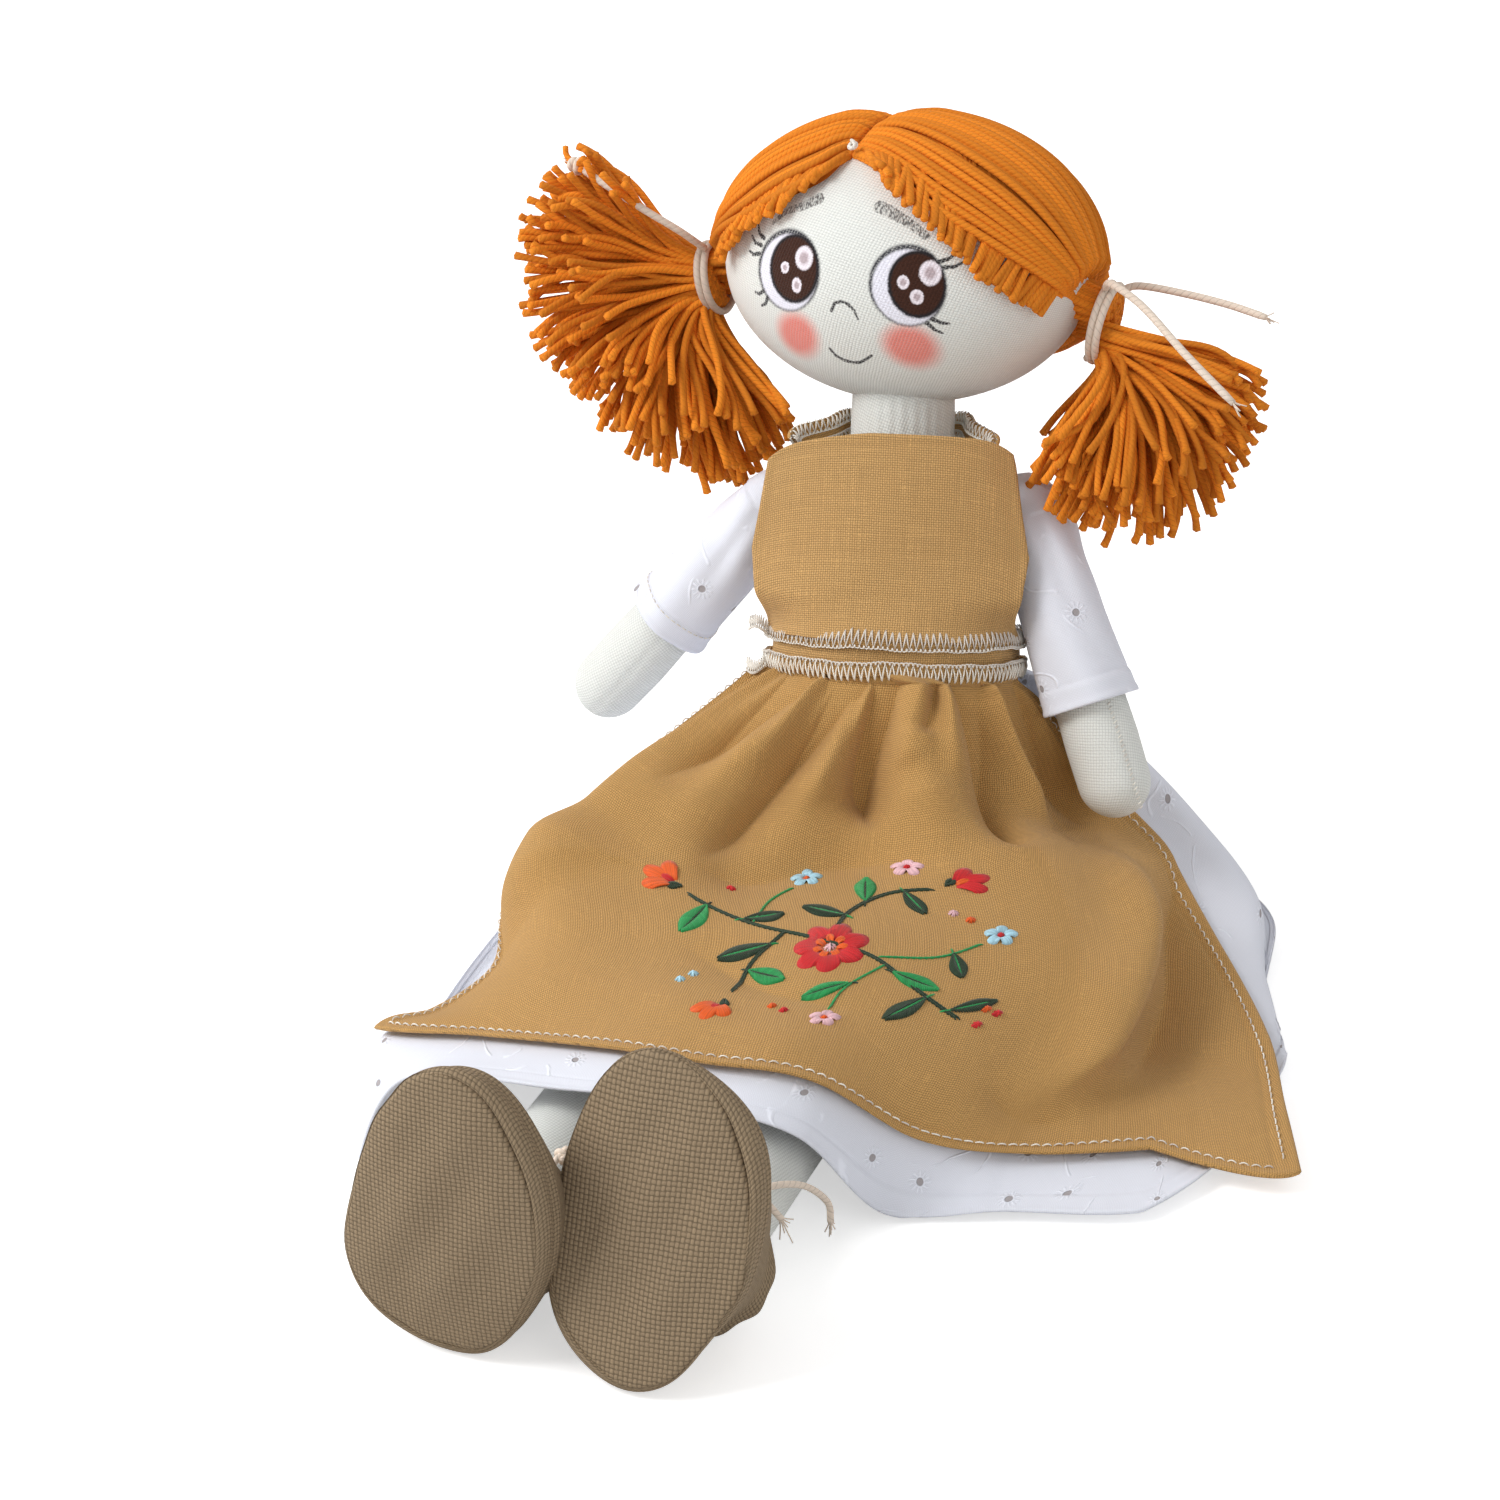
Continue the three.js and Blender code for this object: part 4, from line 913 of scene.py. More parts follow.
def sole_shift(name):
    """For each turn round the sole, how far the hand-cut outline lies from the plain ring, as (turns, across, up)."""
    turns = np.linspace(0, 2 * np.pi, 181)
    _, low, high, width, _ = SHOE_RINGS[0]
    half = (high - low) / 2
    ring = np.stack([width / 2 * np.sin(turns) * (1 + 0.14 * np.cos(turns)), low + half * (1 - np.cos(turns))], -1)
    outline = np.array(SOLES[name], float)
    angle = np.arctan2(outline[:, 0], SOLE_MIDDLE - outline[:, 1])
    order = np.argsort(angle)
    reach = np.hypot(outline[:, 0], SOLE_MIDDLE - outline[:, 1])[order]
    at = np.arctan2(ring[:, 0], SOLE_MIDDLE - ring[:, 1])
    wanted = np.interp(at, angle[order], reach, period=2 * np.pi)
    for _ in range(60):
        wanted[:-1] = (np.roll(wanted[:-1], 1) + 2 * wanted[:-1] + np.roll(wanted[:-1], -1)) / 4
    wanted[-1] = wanted[0]
    extra = wanted - np.hypot(ring[:, 0], SOLE_MIDDLE - ring[:, 1])
    return turns, extra * np.sin(at), -extra * np.cos(at)


SOLE_SHIFTS = {name: sole_shift(name) for name in SIDES}


def shoe_point(name, depth, turn, offset=0.0):
    """A point of the shoe in its leg's frame: depth is millimetres behind the sole's face, turn goes round it."""
    rings = np.array(SHOE_RINGS, float)
    depth = depth + 0 * turn
    low, high, width, keep = (np.interp(depth, rings[:, 0], rings[:, k]) for k in range(1, 5))
    offset = offset + 2.4 * hump(depth, 30, 3.5) - 0.9 * hump(depth, 35.5, 2)
    tilt = math.radians(TOE_BACK[name]) * keep
    half = (high - low) / 2 + offset
    turns, across, rise = SOLE_SHIFTS[name]
    held = np.clip((SHOE_DEPTH - depth) / 29, 0, 1)
    around = np.mod(turn, 2 * np.pi)
    up = low - offset + half * (1 - np.cos(turn)) + held * np.interp(around, turns, rise)
    x = (width / 2 + offset) * np.sin(turn) * (1 + 0.14 * keep * np.cos(turn)) + held * np.interp(around, turns, across)
    y = depth - SHOE_DEPTH + np.sin(tilt) * up - FOOT_REACH
    z = np.cos(tilt) * up - HIP.z
    return np.stack([x, y, np.maximum(z, 0.05 - HIP.z)], -1)


def shoe_middle(name, depth, u, offset=0.0):
    return 0.5 * (shoe_point(name, depth, 0 * u, offset) + shoe_point(name, depth, 0 * u + np.pi, offset))


def rim_inset(name, turn):
    """How far inside the upper's outline the sole's edge lies."""
    inset = 0.9 + 0.2 * np.sin(7 * turn) + 0.15 * np.sin(12 * turn + 1)
    for middle, width, extra in RIM_WIDE[name]:
        away = np.mod(np.degrees(turn) - middle + 180, 360) - 180
        inset = inset + extra * hump(away, 0, width)
    return inset


def shoe_surface(name, side, offset, start):
    """A closed lofted shell from one depth to the ankle, with a flat disc at each end."""
    depths = np.concatenate([np.full(22, start), np.linspace(start, SHOE_DEPTH, 60), np.full(8, SHOE_DEPTH)])
    shrink = np.concatenate([np.linspace(0, 1, 22, endpoint=False), np.ones(60), np.linspace(1, 0, 9)[1:]])

    def place(u, v):
        row = v * (len(depths) - 1)
        depth = np.interp(row, np.arange(len(depths)), depths)
        share = np.interp(row, np.arange(len(depths)), shrink)
        p = shoe_point(side, depth, 2 * np.pi * u, offset)
        middle = shoe_middle(side, depth, u, offset)
        return middle + (p - middle) * share[:, None]

    return draped(name, place, 96, len(depths) - 1, close=True, matrix=leg_matrix(side))


class DOLL_OT_shoes(bpy.types.Operator):
    """Makes the burlap slippers and the twine tied at their ankles"""

    bl_idname = "doll.shoes"
    bl_label = "Shoes"

    def execute(self, context):
        for name in SIDES:
            self.sole(name)
            self.upper(name)
            self.ankle_tie(name)
        return {"FINISHED"}

    def sole(self, name):
        """The padded sole: a cushioned face whose edge turns back into the groove inside the upper's rim."""

        def place(u, v):
            a, share = 2 * np.pi * u, np.clip(v / 0.8, 0, 1)
            rim = np.clip((v - 0.8) / 0.2, 0, 1)
            edge = shoe_point(name, 3.4 * rim**1.5, a, 0.7 * np.sin(np.pi * rim) - rim_inset(name, a))
            middle = shoe_middle(name, 0, u)
            p = middle + (edge - middle) * share[:, None]
            lumps = 0.5 * np.sin(p[:, 0] / 5 + p[:, 2] / 9) + 0.4 * np.sin(p[:, 0] / 3.1 - p[:, 2] / 5 + 2)
            p[:, 1] -= 2.6 * (1 - share**2.6) + lumps * np.clip(2 * (1 - share), 0, 1)
            return p

        piece = draped("shoe_sole_cloth_" + name, place, 120, 50, close=True, matrix=leg_matrix(name))
        local = placed(read(piece.data.vertices, "co", 3) / MM, leg_matrix(name).inverted())
        lay_uv(piece.data, local[:, [0, 2]])
        thicken(piece, 1.0)
        dress_piece(piece, "burlap", "shoe_sole_" + name, body="leg_" + name)

    def upper(self, name):
        def place(u, v):
            a = 2 * np.pi * u
            rim, back = np.clip(v / 0.22, 0, 1), np.clip((v - 0.22) / 0.78, 0, 1)
            depth = 3.6 - 3.2 * np.sin(np.pi * rim) + 34.4 * back
            inset = -(rim_inset(name, a) + 0.7) * (1 - rim) ** 1.2
            crease = 0.6 * np.sin(11 * a + 4 * back) * hump(back, 0.88, 0.16)
            soft = 0.5 * np.sin(3 * a + 5 * back) * np.sin(np.pi * back)
            return shoe_point(name, depth, a, inset + crease + soft - 0.6 * hump(depth, 6.5, 1.2) * (back > 0))

        piece = draped("shoe_upper_cloth_" + name, place, 120, 70, close=True, matrix=leg_matrix(name))
        thicken(piece, 1.0)
        dress_piece(piece, "burlap", "shoe_upper_" + name, body="leg_" + name)

    def ankle_tie(self, name):
        chooser = random.Random("ankle" + name)
        t = np.linspace(0, 2 * np.pi * 2.2, 70)
        ring = np.stack([14.1 * np.cos(t), -157.6 + 2.6 * t / t[-1] + 0.2 * np.sin(3 * t), 14.1 * np.sin(t)], -1)
        if name == "left":
            knot = np.array([10, -149, 12.8])
            ends = [
                [(10, -149, 12.8), (15, -143, 12.5), (19, -135, 8), (22, -128, 0), (22.5, -127, -6)],
                [(10, -149, 12.8), (14, -150, 12), (17, -147, 6)]
            ]
            radius = 0.85
        else:
            knot = np.array([10, -151, 13])
            ends = [
                [
                    (10, -151, 13), (14, -155 - k, 10), (15.5 - k * 0.4, -158 - 0.6 * k, 2 - k),
                    (15 + k * 0.6, -160 + 0.5 * k, -6 - 2.2 * k)
                ]
                for k in range(4)
            ]
            radius = 0.42
        joins = [[(8.5, -156, 11.3), (9.5, -153, 13.6), tuple(knot)], [(11, -155.5, 9), (12, -152, 12), tuple(knot)]]
        paths = [ring, knot_path(knot, np.array([0.5, 1.0, 0.2]), 2.0)] + [smooth_path(route, 14) for route in joins]
        piece = strands("shoe_tie_twine_" + name, paths, 0.85, 8, leg_matrix(name))
        dress_piece(piece, "twine", "shoe_tie_" + name, body="leg_" + name)
        loose = strands(
            "shoe_tie_ends_" + name, [smooth_path(route, 24) for route in ends], radius, 8, leg_matrix(name)
        )
        dress_piece(loose, "twine", body="leg_" + name)
        fibres = []
        for route in ends:
            before, last = np.array(route[-2:], float)
            fibres += tuft(chooser, last, unit(last - before), 8, (1.2, 3.4), (0.5, 1.2))
        fibres = [placed(line, leg_matrix(name)) for line in fibres]
        for line in fibres:
            line[:, 2] = np.maximum(line[:, 2], FLOOR_CLEARANCE)
        fray = strands("shoe_tie_fray_" + name, fibres, 0.17, 5)
        dress_piece(fray, "twine", body="leg_" + name)


# Head and hair


def between_directions(a, b, t):
    a, b = unit(a), unit(b)
    angle = math.acos(float(np.clip(a @ b, -1, 1)))
    t = np.asarray(t, float)[:, None]
    return (np.sin((1 - t) * angle) * a + np.sin(t * angle) * b) / math.sin(angle)


def on_parting(degrees):
    a = math.radians(degrees)
    return np.array([-0.12, -0.9928 * math.cos(a), 0.9928 * math.sin(a)])


def tie_frame(name):
    """The tie's middle and three directions: out of the head, and two across the tie."""
    out = unit(TIES[name])
    first = unit(np.cross((0, 1, 0), out))
    return TIES[name], out, first, np.cross(out, first)


HAIR_FRONT = {
    "right": [
        (-8.3, -27.6, 27.5), (-12.1, -32.4, 21.0), (-20.5, -32.9, 15.9), (-33.0, -29.4, 9.3), (-49.4, -12.6, 0.9)
    ],
    "left": [(-7.9, -27.2, 28.0), (1.6, -31.5, 24.0), (17.2, -34.5, 14.9), (34.0, -29.6, 5.9), (47.0, -16.8, -3.1)],
}
# The hair leaves the parting between these angles over the head.
PARTING_RANGE = (46, 214)
TOP_STRANDS, LOWER_STRANDS = 74, 46
FRINGE_STRANDS = {"left": 56, "right": 36}
FRINGE_ENDS = {
    "left": [
        (2.0, -32.8, 24.0), (5.6, -35.2, 21.4), (8.2, -36.8, 18.0), (12.1, -37.8, 14.8), (19.6, -37.2, 9.9),
        (23.6, -36.2, 6.2),
        (27.1, -35.0, 2.6), (31.1, -33.2, -1.6), (35.5, -30.1, -4.1), (39.4, -26.4, -7.1), (43.8, -20.6, -10.0),
    ],
    "right": [
        (-12.5, -32.8, 20.6), (-18.0, -33.6, 15.6), (-24.0, -34.7, 11.2), (-30.5, -32.9, 6.4), (-35.3, -30.4, 3.4),
        (-39.2, -27.6, 0.6), (-43.2, -23.6, -2.5)
    ],
}


def hair_directions(name, w, t):
    """Directions along the strand that leaves the parting at share w, pulled low over the forehead in front."""
    tie = TIES[name] / HEAD_SIZE
    start = on_parting(PARTING_RANGE[0] + (PARTING_RANGE[1] - PARTING_RANGE[0]) * w)
    base = between_directions(start, tie, t)
    front = np.vstack([np.array(HAIR_FRONT[name]) / (HEAD_SIZE + 2), tie])
    first = between_directions(on_parting(PARTING_RANGE[0]), tie, t)
    wanted = unit(sampled(t, np.linspace(0, 1, 80), smooth_path(front, 80)))
    pull = max(0.0, 1 - w / 0.45) ** 1.6
    return base + pull * (wanted - first)


def hair_path(name, w, layer, depth, angle_shift=0.0):
    """One long strand: from the parting over the head and into the tie, depth millimetres inside the tie's edge."""
    t = np.concatenate([[0.012, 0.05], np.linspace(0.11, 0.8, 18)])
    heights = np.interp(t, (0, 0.05, 0.14, 0.5, 1), (-0.8, 0.55 * layer, layer, layer + 0.5, layer))
    points = unit(hair_directions(name, w, t)) * (HEAD_SIZE + heights[:, None])
    middle, out, e1, e2 = tie_frame(name)
    away = points[-1] - middle
    angle = math.atan2(away @ e2, away @ e1) + angle_shift
    spoke = (TIE_RADIUS[name] - depth) * (math.cos(angle) * e1 + math.sin(angle) * e2)
    ring, swell = middle + spoke, middle - out * 9 + 1.22 * spoke
    return smooth_path(np.vstack([points, swell, ring - out * 2.5, ring + out * 1.5]), 48)


class DOLL_OT_head(bpy.types.Operator):
    """Stuffs the head and draws the face"""

    bl_idname = "doll.head"
    bl_label = "Head and face"

    def execute(self, context):
        deselect()
        bpy.ops.mesh.primitive_uv_sphere_add(segments=128, ring_count=72, radius=1)
        head = context.object
        head.name = head.data.name = "head_cloth"
        ball = read(head.data.vertices, "co", 3)
        x, y, z = ball.T
        cheeks = 0.7 * np.exp(-((z + 0.35) ** 2) / 0.08) * np.clip(-y, 0, 1)
        points = ball * HEAD_SIZE * (1 + 0.012 * cheeks)[:, None]
        head.data.vertices.foreach_set("co", (placed(points, HEAD) * MM).ravel())
        polar, around = np.arccos(np.clip(-y, -1, 1)), np.arctan2(z, x)
        lay_uv(head.data, np.stack([np.cos(around), np.sin(around)], -1) * (polar * HEAD_MIDDLE_SIZE)[:, None])
        bpy.ops.object.shade_smooth()
        dress_piece(head, "face", "head_skin", "head_stuffing", body="head")
        return {"FINISHED"}


class DOLL_OT_hair(bpy.types.Operator):
    """Lays the yarn from the parting to the ties, and the cut fringe"""

    bl_idname = "doll.hair"
    bl_label = "Hair on the head"

    def execute(self, context):
        radius = 0.5 * context.scene.doll_sizes.yarn / MM
        for name in SIDES:
            cap = self.cap(name, radius)
            under = self.under(name)
            dress_piece(under, "hair", body="head")
            dress_piece(cap, "hair", "hair_cap_" + name, body="head")
            fringe = strands("hair_fringe_" + name, self.fringe(name), radius, 7, HEAD)
            dress_piece(fringe, "hair", body="head")
        centre = np.array([-6.3, -29.8, 29.3])
        stitch = strands("parting_stitch_thread", [knot_path(centre, np.array([0.1, -0.8, 0.6]), 1.3)], 0.5, 7, HEAD)
        dress_piece(stitch, "thread", "parting_stitch", body="head")
        return {"FINISHED"}

    def under(self, name):
        """The yarn's lowest layer as a sheet, seen only in the grooves."""

        def place(u, v):
            points = np.empty((len(u), 3))
            for w in np.unique(u):
                rows = u == w
                path = hair_path(name, float(w), 0.9, 1.6)
                points[rows] = sampled(v[rows], np.linspace(0, 1, len(path)), path)
            return points

        return draped("hair_under_" + name, place, 60, 50, matrix=HEAD)

    def cap(self, name, radius):
        chooser = random.Random("cap" + name)
        paths = []
        for k in range(TOP_STRANDS):
            w = (k + 0.5 + chooser.uniform(-0.2, 0.2)) / TOP_STRANDS
            paths.append(
                hair_path(
                    name, w, 1.9 + chooser.uniform(0, 1.3), chooser.choice((1.0, 1.0, 2.4)), chooser.uniform(-0.1, 0.1)
                )
            )
        for k in range(LOWER_STRANDS):
            w = (k + 0.5 + chooser.uniform(-0.4, 0.4)) / LOWER_STRANDS
            paths.append(hair_path(name, w, 1.2, chooser.uniform(2.5, 6.5), chooser.uniform(-0.3, 0.3)))
        return strands("hair_cap_yarn_" + name, paths, radius, 7, HEAD)

    def fringe(self, name):
        chooser = random.Random("fringe" + name)
        ends = np.array(FRINGE_ENDS[name])
        count = FRINGE_STRANDS[name]
        paths = []
        for k in range(count):
            f = min(max((k + chooser.uniform(-0.3, 0.3)) / (count - 1), 0.0), 1.0)
            aim = sampled(f, np.linspace(0, 1, len(ends)), ends) / HEAD_SIZE
            w = 0.01 + 0.2 * f + 0.012 * chooser.random()
            flow = unit(hair_directions(name, w, np.linspace(0.02, 0.9, 45)))
            turn_off = max(3, int(np.argmax(flow @ unit(aim))) - chooser.choice((7, 8, 9)))
            route = flow[np.linspace(0, turn_off, 7).astype(int)]
            heights = np.interp(np.linspace(0, 1, 7), (0, 0.2, 1), (-0.5, 0.5, 0.9))
            tip = (
                aim * (HEAD_SIZE + 1.1 + chooser.uniform(-0.2, 0.9))
                + np.array([chooser.gauss(0, 0.6), 0, chooser.gauss(0.3, 0.7)])
            )
            bend = (route[-1] * 0.5 + aim * 0.5) * (HEAD_SIZE + 2.1)
            paths.append(smooth_path(np.vstack([route * (HEAD_SIZE + heights[:, None]), bend, tip]), 30))
        return paths


# Half of a bunch's thickness, towards and away from the camera.
BUNCH_DEPTH = 22.5
# Each bunch's fan of directions in the picture's plane, as (degrees above the picture's right, reach).
BUNCHES = {
    "left": {"fan": [(-118, 46), (-100, 55), (-82, 59), (-62, 57), (-42, 52), (-20, 45)], "count": "left_strands"},
    "right": {
        "fan": [(134, 50), (152, 54), (172, 54), (200, 52), (225, 50), (250, 53), (275, 58), (298, 50)],
        "count": "right_strands"
    },
}


class DOLL_OT_bunches(bpy.types.Operator):
    """Spreads the tied bunches and winds their twine"""

    bl_idname = "doll.bunches"
    bl_label = "Bunches and hair ties"

    def execute(self, context):
        sizes = context.scene.doll_sizes
        for name, bunch in BUNCHES.items():
            count = getattr(sizes, bunch["count"])
            piece = strands(
                "bunch_yarn_" + name, self.paths(name, bunch, count), 0.5 * sizes.yarn / MM, 5, HEAD, taper=1.15
            )
            dress_piece(piece, "hair", "bunch_" + name, body="bunch_" + name)
            middle, out, e1, e2 = tie_frame(name)
            t = np.linspace(0, 2 * np.pi * 2.2, 90)
            turns = wound(t, TIE_RADIUS[name] + 1.2 + 0.2 * np.sin(2.3 * t), e1, e2)
            turns += middle + np.outer(-2.4 + 1.9 * t / (2 * np.pi), out)
            ring = strands("hair_tie_twine_" + name, [turns], 0.5 * sizes.twine / MM, 9, HEAD)
            dress_piece(ring, "twine", "hair_tie_" + name, body="head")
        return {"FINISHED"}

    def paths(self, name, bunch, count):
        chooser = random.Random("bunch" + name)
        middle, out, *_ = tie_frame(name)
        turned_back = np.array(HEAD.to_3x3().inverted())
        back = np.array(TOWARDS_CAMERA)
        right = unit(np.cross((0, 0, 1), back))
        up = np.cross(back, right)
        back, right, up = (turned_back @ axis for axis in (back, right, up))
        angles, reaches = zip(*bunch["fan"])
        paths = []
        for k in range(count):
            share = (k + chooser.uniform(0, 1)) / count
            turn = np.interp(share, np.linspace(0, 1, len(angles)), angles)
            full = np.interp(share, np.linspace(0, 1, len(reaches)), reaches)
            side = chooser.uniform(-1, 1)
            edge = math.sqrt(1 - side * side)
            reach = full * (0.6 + 0.4 * edge) * chooser.uniform(0.93, 1.03) * (1 - 0.25 * chooser.random() ** 4)
            flat = right * math.cos(math.radians(turn)) + up * math.sin(math.radians(turn))
            end = middle + flat * reach + back * BUNCH_DEPTH * side
            aim = unit(end - middle)
            spoke = unit(aim - out * (aim @ out))
            ring = middle + spoke * (TIE_RADIUS[name] - 1.2) * math.sqrt(chooser.uniform(0.1, 1))
            first = ring - out * 1.5
            second = ring + out * chooser.uniform(7, 13) + aim * 7
            curl = np.array([chooser.gauss(0, 1) for _ in range(3)])
            third = end - aim * 15 + curl * 3.2 + out * 4 + np.array([0, 0, 2.5])
            t = np.linspace(0, 1, 20)[:, None]
            p = (1 - t) ** 3 * first + 3 * (1 - t) ** 2 * t * second + 3 * (1 - t) * t**2 * third + t**3 * end
            wave = np.sin(t * chooser.uniform(5, 9) + chooser.uniform(0, 6)) * t * 1.5
            p = p + wave * np.array([chooser.gauss(0, 0.7) for _ in range(3)])
            inside = np.linalg.norm(p / (HEAD_SIZE + 6.0), axis=1)[:, None]
            clear = np.where(t > 0.12, np.maximum(inside, 1e-6), 1.0)
            paths.append(np.where(clear < 1, p / clear, p))
        return paths


# Arms and dress


# Each arm: half width of the shoulders, then degrees outward and backward.
SHOULDERS = {"left": (35.0, 20, -4), "right": (33.3, 41, 20)}
SLEEVE_LENGTH = {"left": 53.0, "right": 47.0}
# How far the arm reaches above its shoulder, where its seam lies (degrees) and how flat it is.
ARM_ROOT, ARM_SEAM_TURN, ARM_FLAT = 8.6, 35, 0.94
HEM_WIDTH = 6.4


def arm_matrix(name):
    reach, out, back = SHOULDERS[name]
    side = SIDES[name]
    a, b = math.radians(out), math.radians(back)
    aim = Vector((side * math.sin(a), math.cos(a) * math.sin(b), -math.cos(a) * math.cos(b)))
    spin = Vector((0, 0, 1)).rotation_difference(aim).to_matrix().to_4x4()
    return UPPER @ Matrix.Translation((side * reach, 0, 119)) @ spin


def arm_radius(z):
    return np.interp(z, (0, 25.2, 63, 84), (8.6, 9.2, 10.4, 10.0))


class DOLL_OT_arms(bpy.types.Operator):
    """Stuffs the arms and puts them in their sleeves"""

    bl_idname = "doll.arms"
    bl_label = "Arms and sleeves"

    def execute(self, context):
        for name in SIDES:
            matrix = arm_matrix(name)
            place = matrix @ Matrix.Translation((0, 0, -ARM_ROOT)) @ turned(ARM_SEAM_TURN, "Z")
            length = 84 + ARM_ROOT
            arm = stuffed_limb(
                "arm_cloth_" + name, lambda z: arm_radius(z - ARM_ROOT), length, ARM_ROOT, 10, place, ARM_FLAT, 0.004
            )
            dress_piece(arm, "skin", "arm_skin_" + name, "arm_stuffing_" + name, body="arm_" + name)
            sleeve = self.sleeve(name, matrix)
            dress_piece(sleeve, "cotton", "sleeve_" + name, body="arm_" + name)
            turns = np.linspace(0, 2 * np.pi, 80)
            hem = []
            for start in range(0, 79, 2):
                a = np.linspace(turns[start], turns[start + 1] + 0.02, 3)
                hem.append(self.sleeve_point(name, a / (2 * np.pi), np.full(3, 0.9)) * np.array([1.004, 1.004, 1]))
            stitches = strands("sleeve_hem_" + name, hem, 0.16, 5, matrix)
            dress_piece(stitches, "thread", body="arm_" + name)
            seam = []
            turn = math.radians(ARM_SEAM_TURN + (180 if name == "left" else 360))
            for k in range(26):
                z = np.array([50, 50.5]) + 1.3 * k
                radius, a = arm_radius(z) + 0.15, turn + np.array([-0.05, 0.05])
                low, high = np.stack([radius * np.cos(a), radius * ARM_FLAT * np.sin(a), z], -1)
                seam.append(np.array([low, 0.5 * (low + high) * (1.01, 1.01, 1), high]))
            sewing = strands("arm_seam_" + name, seam, 0.16, 5, matrix)
            dress_piece(sewing, "thread", body="arm_" + name)
        return {"FINISHED"}

    def sleeve_point(self, name, u, v):
        top, length = -11.0, SLEEVE_LENGTH[name]
        z = top + (length - top) * v
        a = 2 * np.pi * u
        dome = np.clip((z - top) / 20, 0, 1)
        radius = (arm_radius(np.clip(z, 0, 84)) + 1.9) * np.sqrt(np.clip(1 - (1 - dome) ** 2.4, 0, 1))
        creases = 0.6 * np.sin(3 * a + z / 5) * hump(z, 8, 14)
        creases += 0.35 * np.sin(5 * a + z / 9 + 1) * np.clip(z / 50, 0, 1)
        creases -= 0.9 * hump(np.mod(a - 4.2 + 0.012 * z + np.pi, 2 * np.pi), np.pi, 0.22) * hump(z, 12, 16)
        flare = 0.6 * np.clip((z - 30) / 23, 0, 1)
        edge = length - HEM_WIDTH
        hem = 0.3 * (z > edge) - 0.3 * hump(z, edge, 0.5) + 0.3 * hump(z, length - 0.8, 0.8)
        radius = radius + np.where(z > top + 12, creases, 0) + flare + hem
        return np.stack([radius * np.cos(a), radius * np.sin(a), z], -1)

    def sleeve(self, name, matrix):
        piece = draped(
            "sleeve_cloth_" + name, lambda u, v: self.sleeve_point(name, u, v), 96, 120, close=True, matrix=matrix
        )
        return thicken(piece, 0.7)


class DOLL_OT_bodice(bpy.types.Operator):
    """Fits the white bodice"""

    bl_idname = "doll.bodice"
    bl_label = "Bodice"

    def execute(self, context):
        def place(u, v):
            a = 2 * np.pi * u
            height = 76.4 + 54.6 * v
            wave = 0.35 * np.sin(6 * a + height / 7) + 0.25 * np.sin(11 * a - height / 11)
            return torso_ring(a, height, 1.35 + 0.3 * wave)

        piece = draped("dress_bodice_cloth", place, 120, 60, close=True, matrix=UPPER)
        thicken(piece, 0.8)
        dress_piece(piece, "cotton", "dress_bodice", body="torso")
        return {"FINISHED"}


# Apron


BIB_HALF_WIDTHS = [(85, 32.5), (96, 35), (108, 36.5), (119, 34.5), (132, 32.5), (140, 30.5)]
BIB_LOW, BIB_HIGH = 85.5, 139.6


def bib_point(across, height, layer):
    """A point of the bib, with across from -1 to 1. Low down it follows the waist and above that it hangs freely."""
    x = across * profile_at(BIB_HALF_WIDTHS, height)
    free = np.stack([x, 9 * (x / 36.5) ** 2 - torso_depth(np.minimum(height, 108)) - 1.7 - layer, height], -1)
    fitted = torso_ring(np.radians(-90 + 78 * across), height, 2.9 + layer)
    share = eased((height - 85) / 13)[:, None]
    return fitted * (1 - share) + free * share


def bib_top(across):
    return BIB_HIGH - 0.8 * across**2 - 3.8 * np.abs(across) ** 9 - 4.5 * np.clip(-across - 0.15, 0, 1) ** 1.2


# One loop of overlock thread: share of its pitch, share of the way from the edge inward, and lift.
OVERLOCK_LOOP = [
    (0, 0.92, 0.15), (0.3, 0.5, 0.3), (0.55, 0.03, 0.25), (0.6, -0.08, -0.25), (0.65, 0.05, 0.25), (0.8, 0.5, 0.25),
]


def overlock(name, edge, inner, normal, pitch=1.8, bulge=0.0):
    """Overlock stitches along a strip between two lines: loops over the edge and a looped chain. Returns the paths."""
    count = max(4, int(travelled(edge)[-1] / pitch))
    at = np.linspace(0, 1, len(edge))
    chooser = random.Random(name)

    def mix(t, across, lift):
        a, b, n = (sampled(t, at, line) for line in (edge, inner, normal))
        return a + (b - a) * across + n * (lift + bulge * math.sin(math.pi * min(max(across, 0), 1)))

    loops, chain = [], []
    for k in range(count):
        shift = chooser.uniform(-0.06, 0.06)
        for step, across, lift in OVERLOCK_LOOP:
            loops.append(mix((k + step) / count, across + shift, lift))
    for k in range(10 * count):
        turn = 0.2 * math.pi * 1.5 * k
        chain.append(
            mix(
                min(1.0, (k + 2.2 * math.sin(turn)) / (10 * count)), 0.93 + 0.08 * math.cos(turn),
                0.35 + 0.12 * math.sin(turn)
            )
        )
    return [np.array(loops), np.array(chain)]


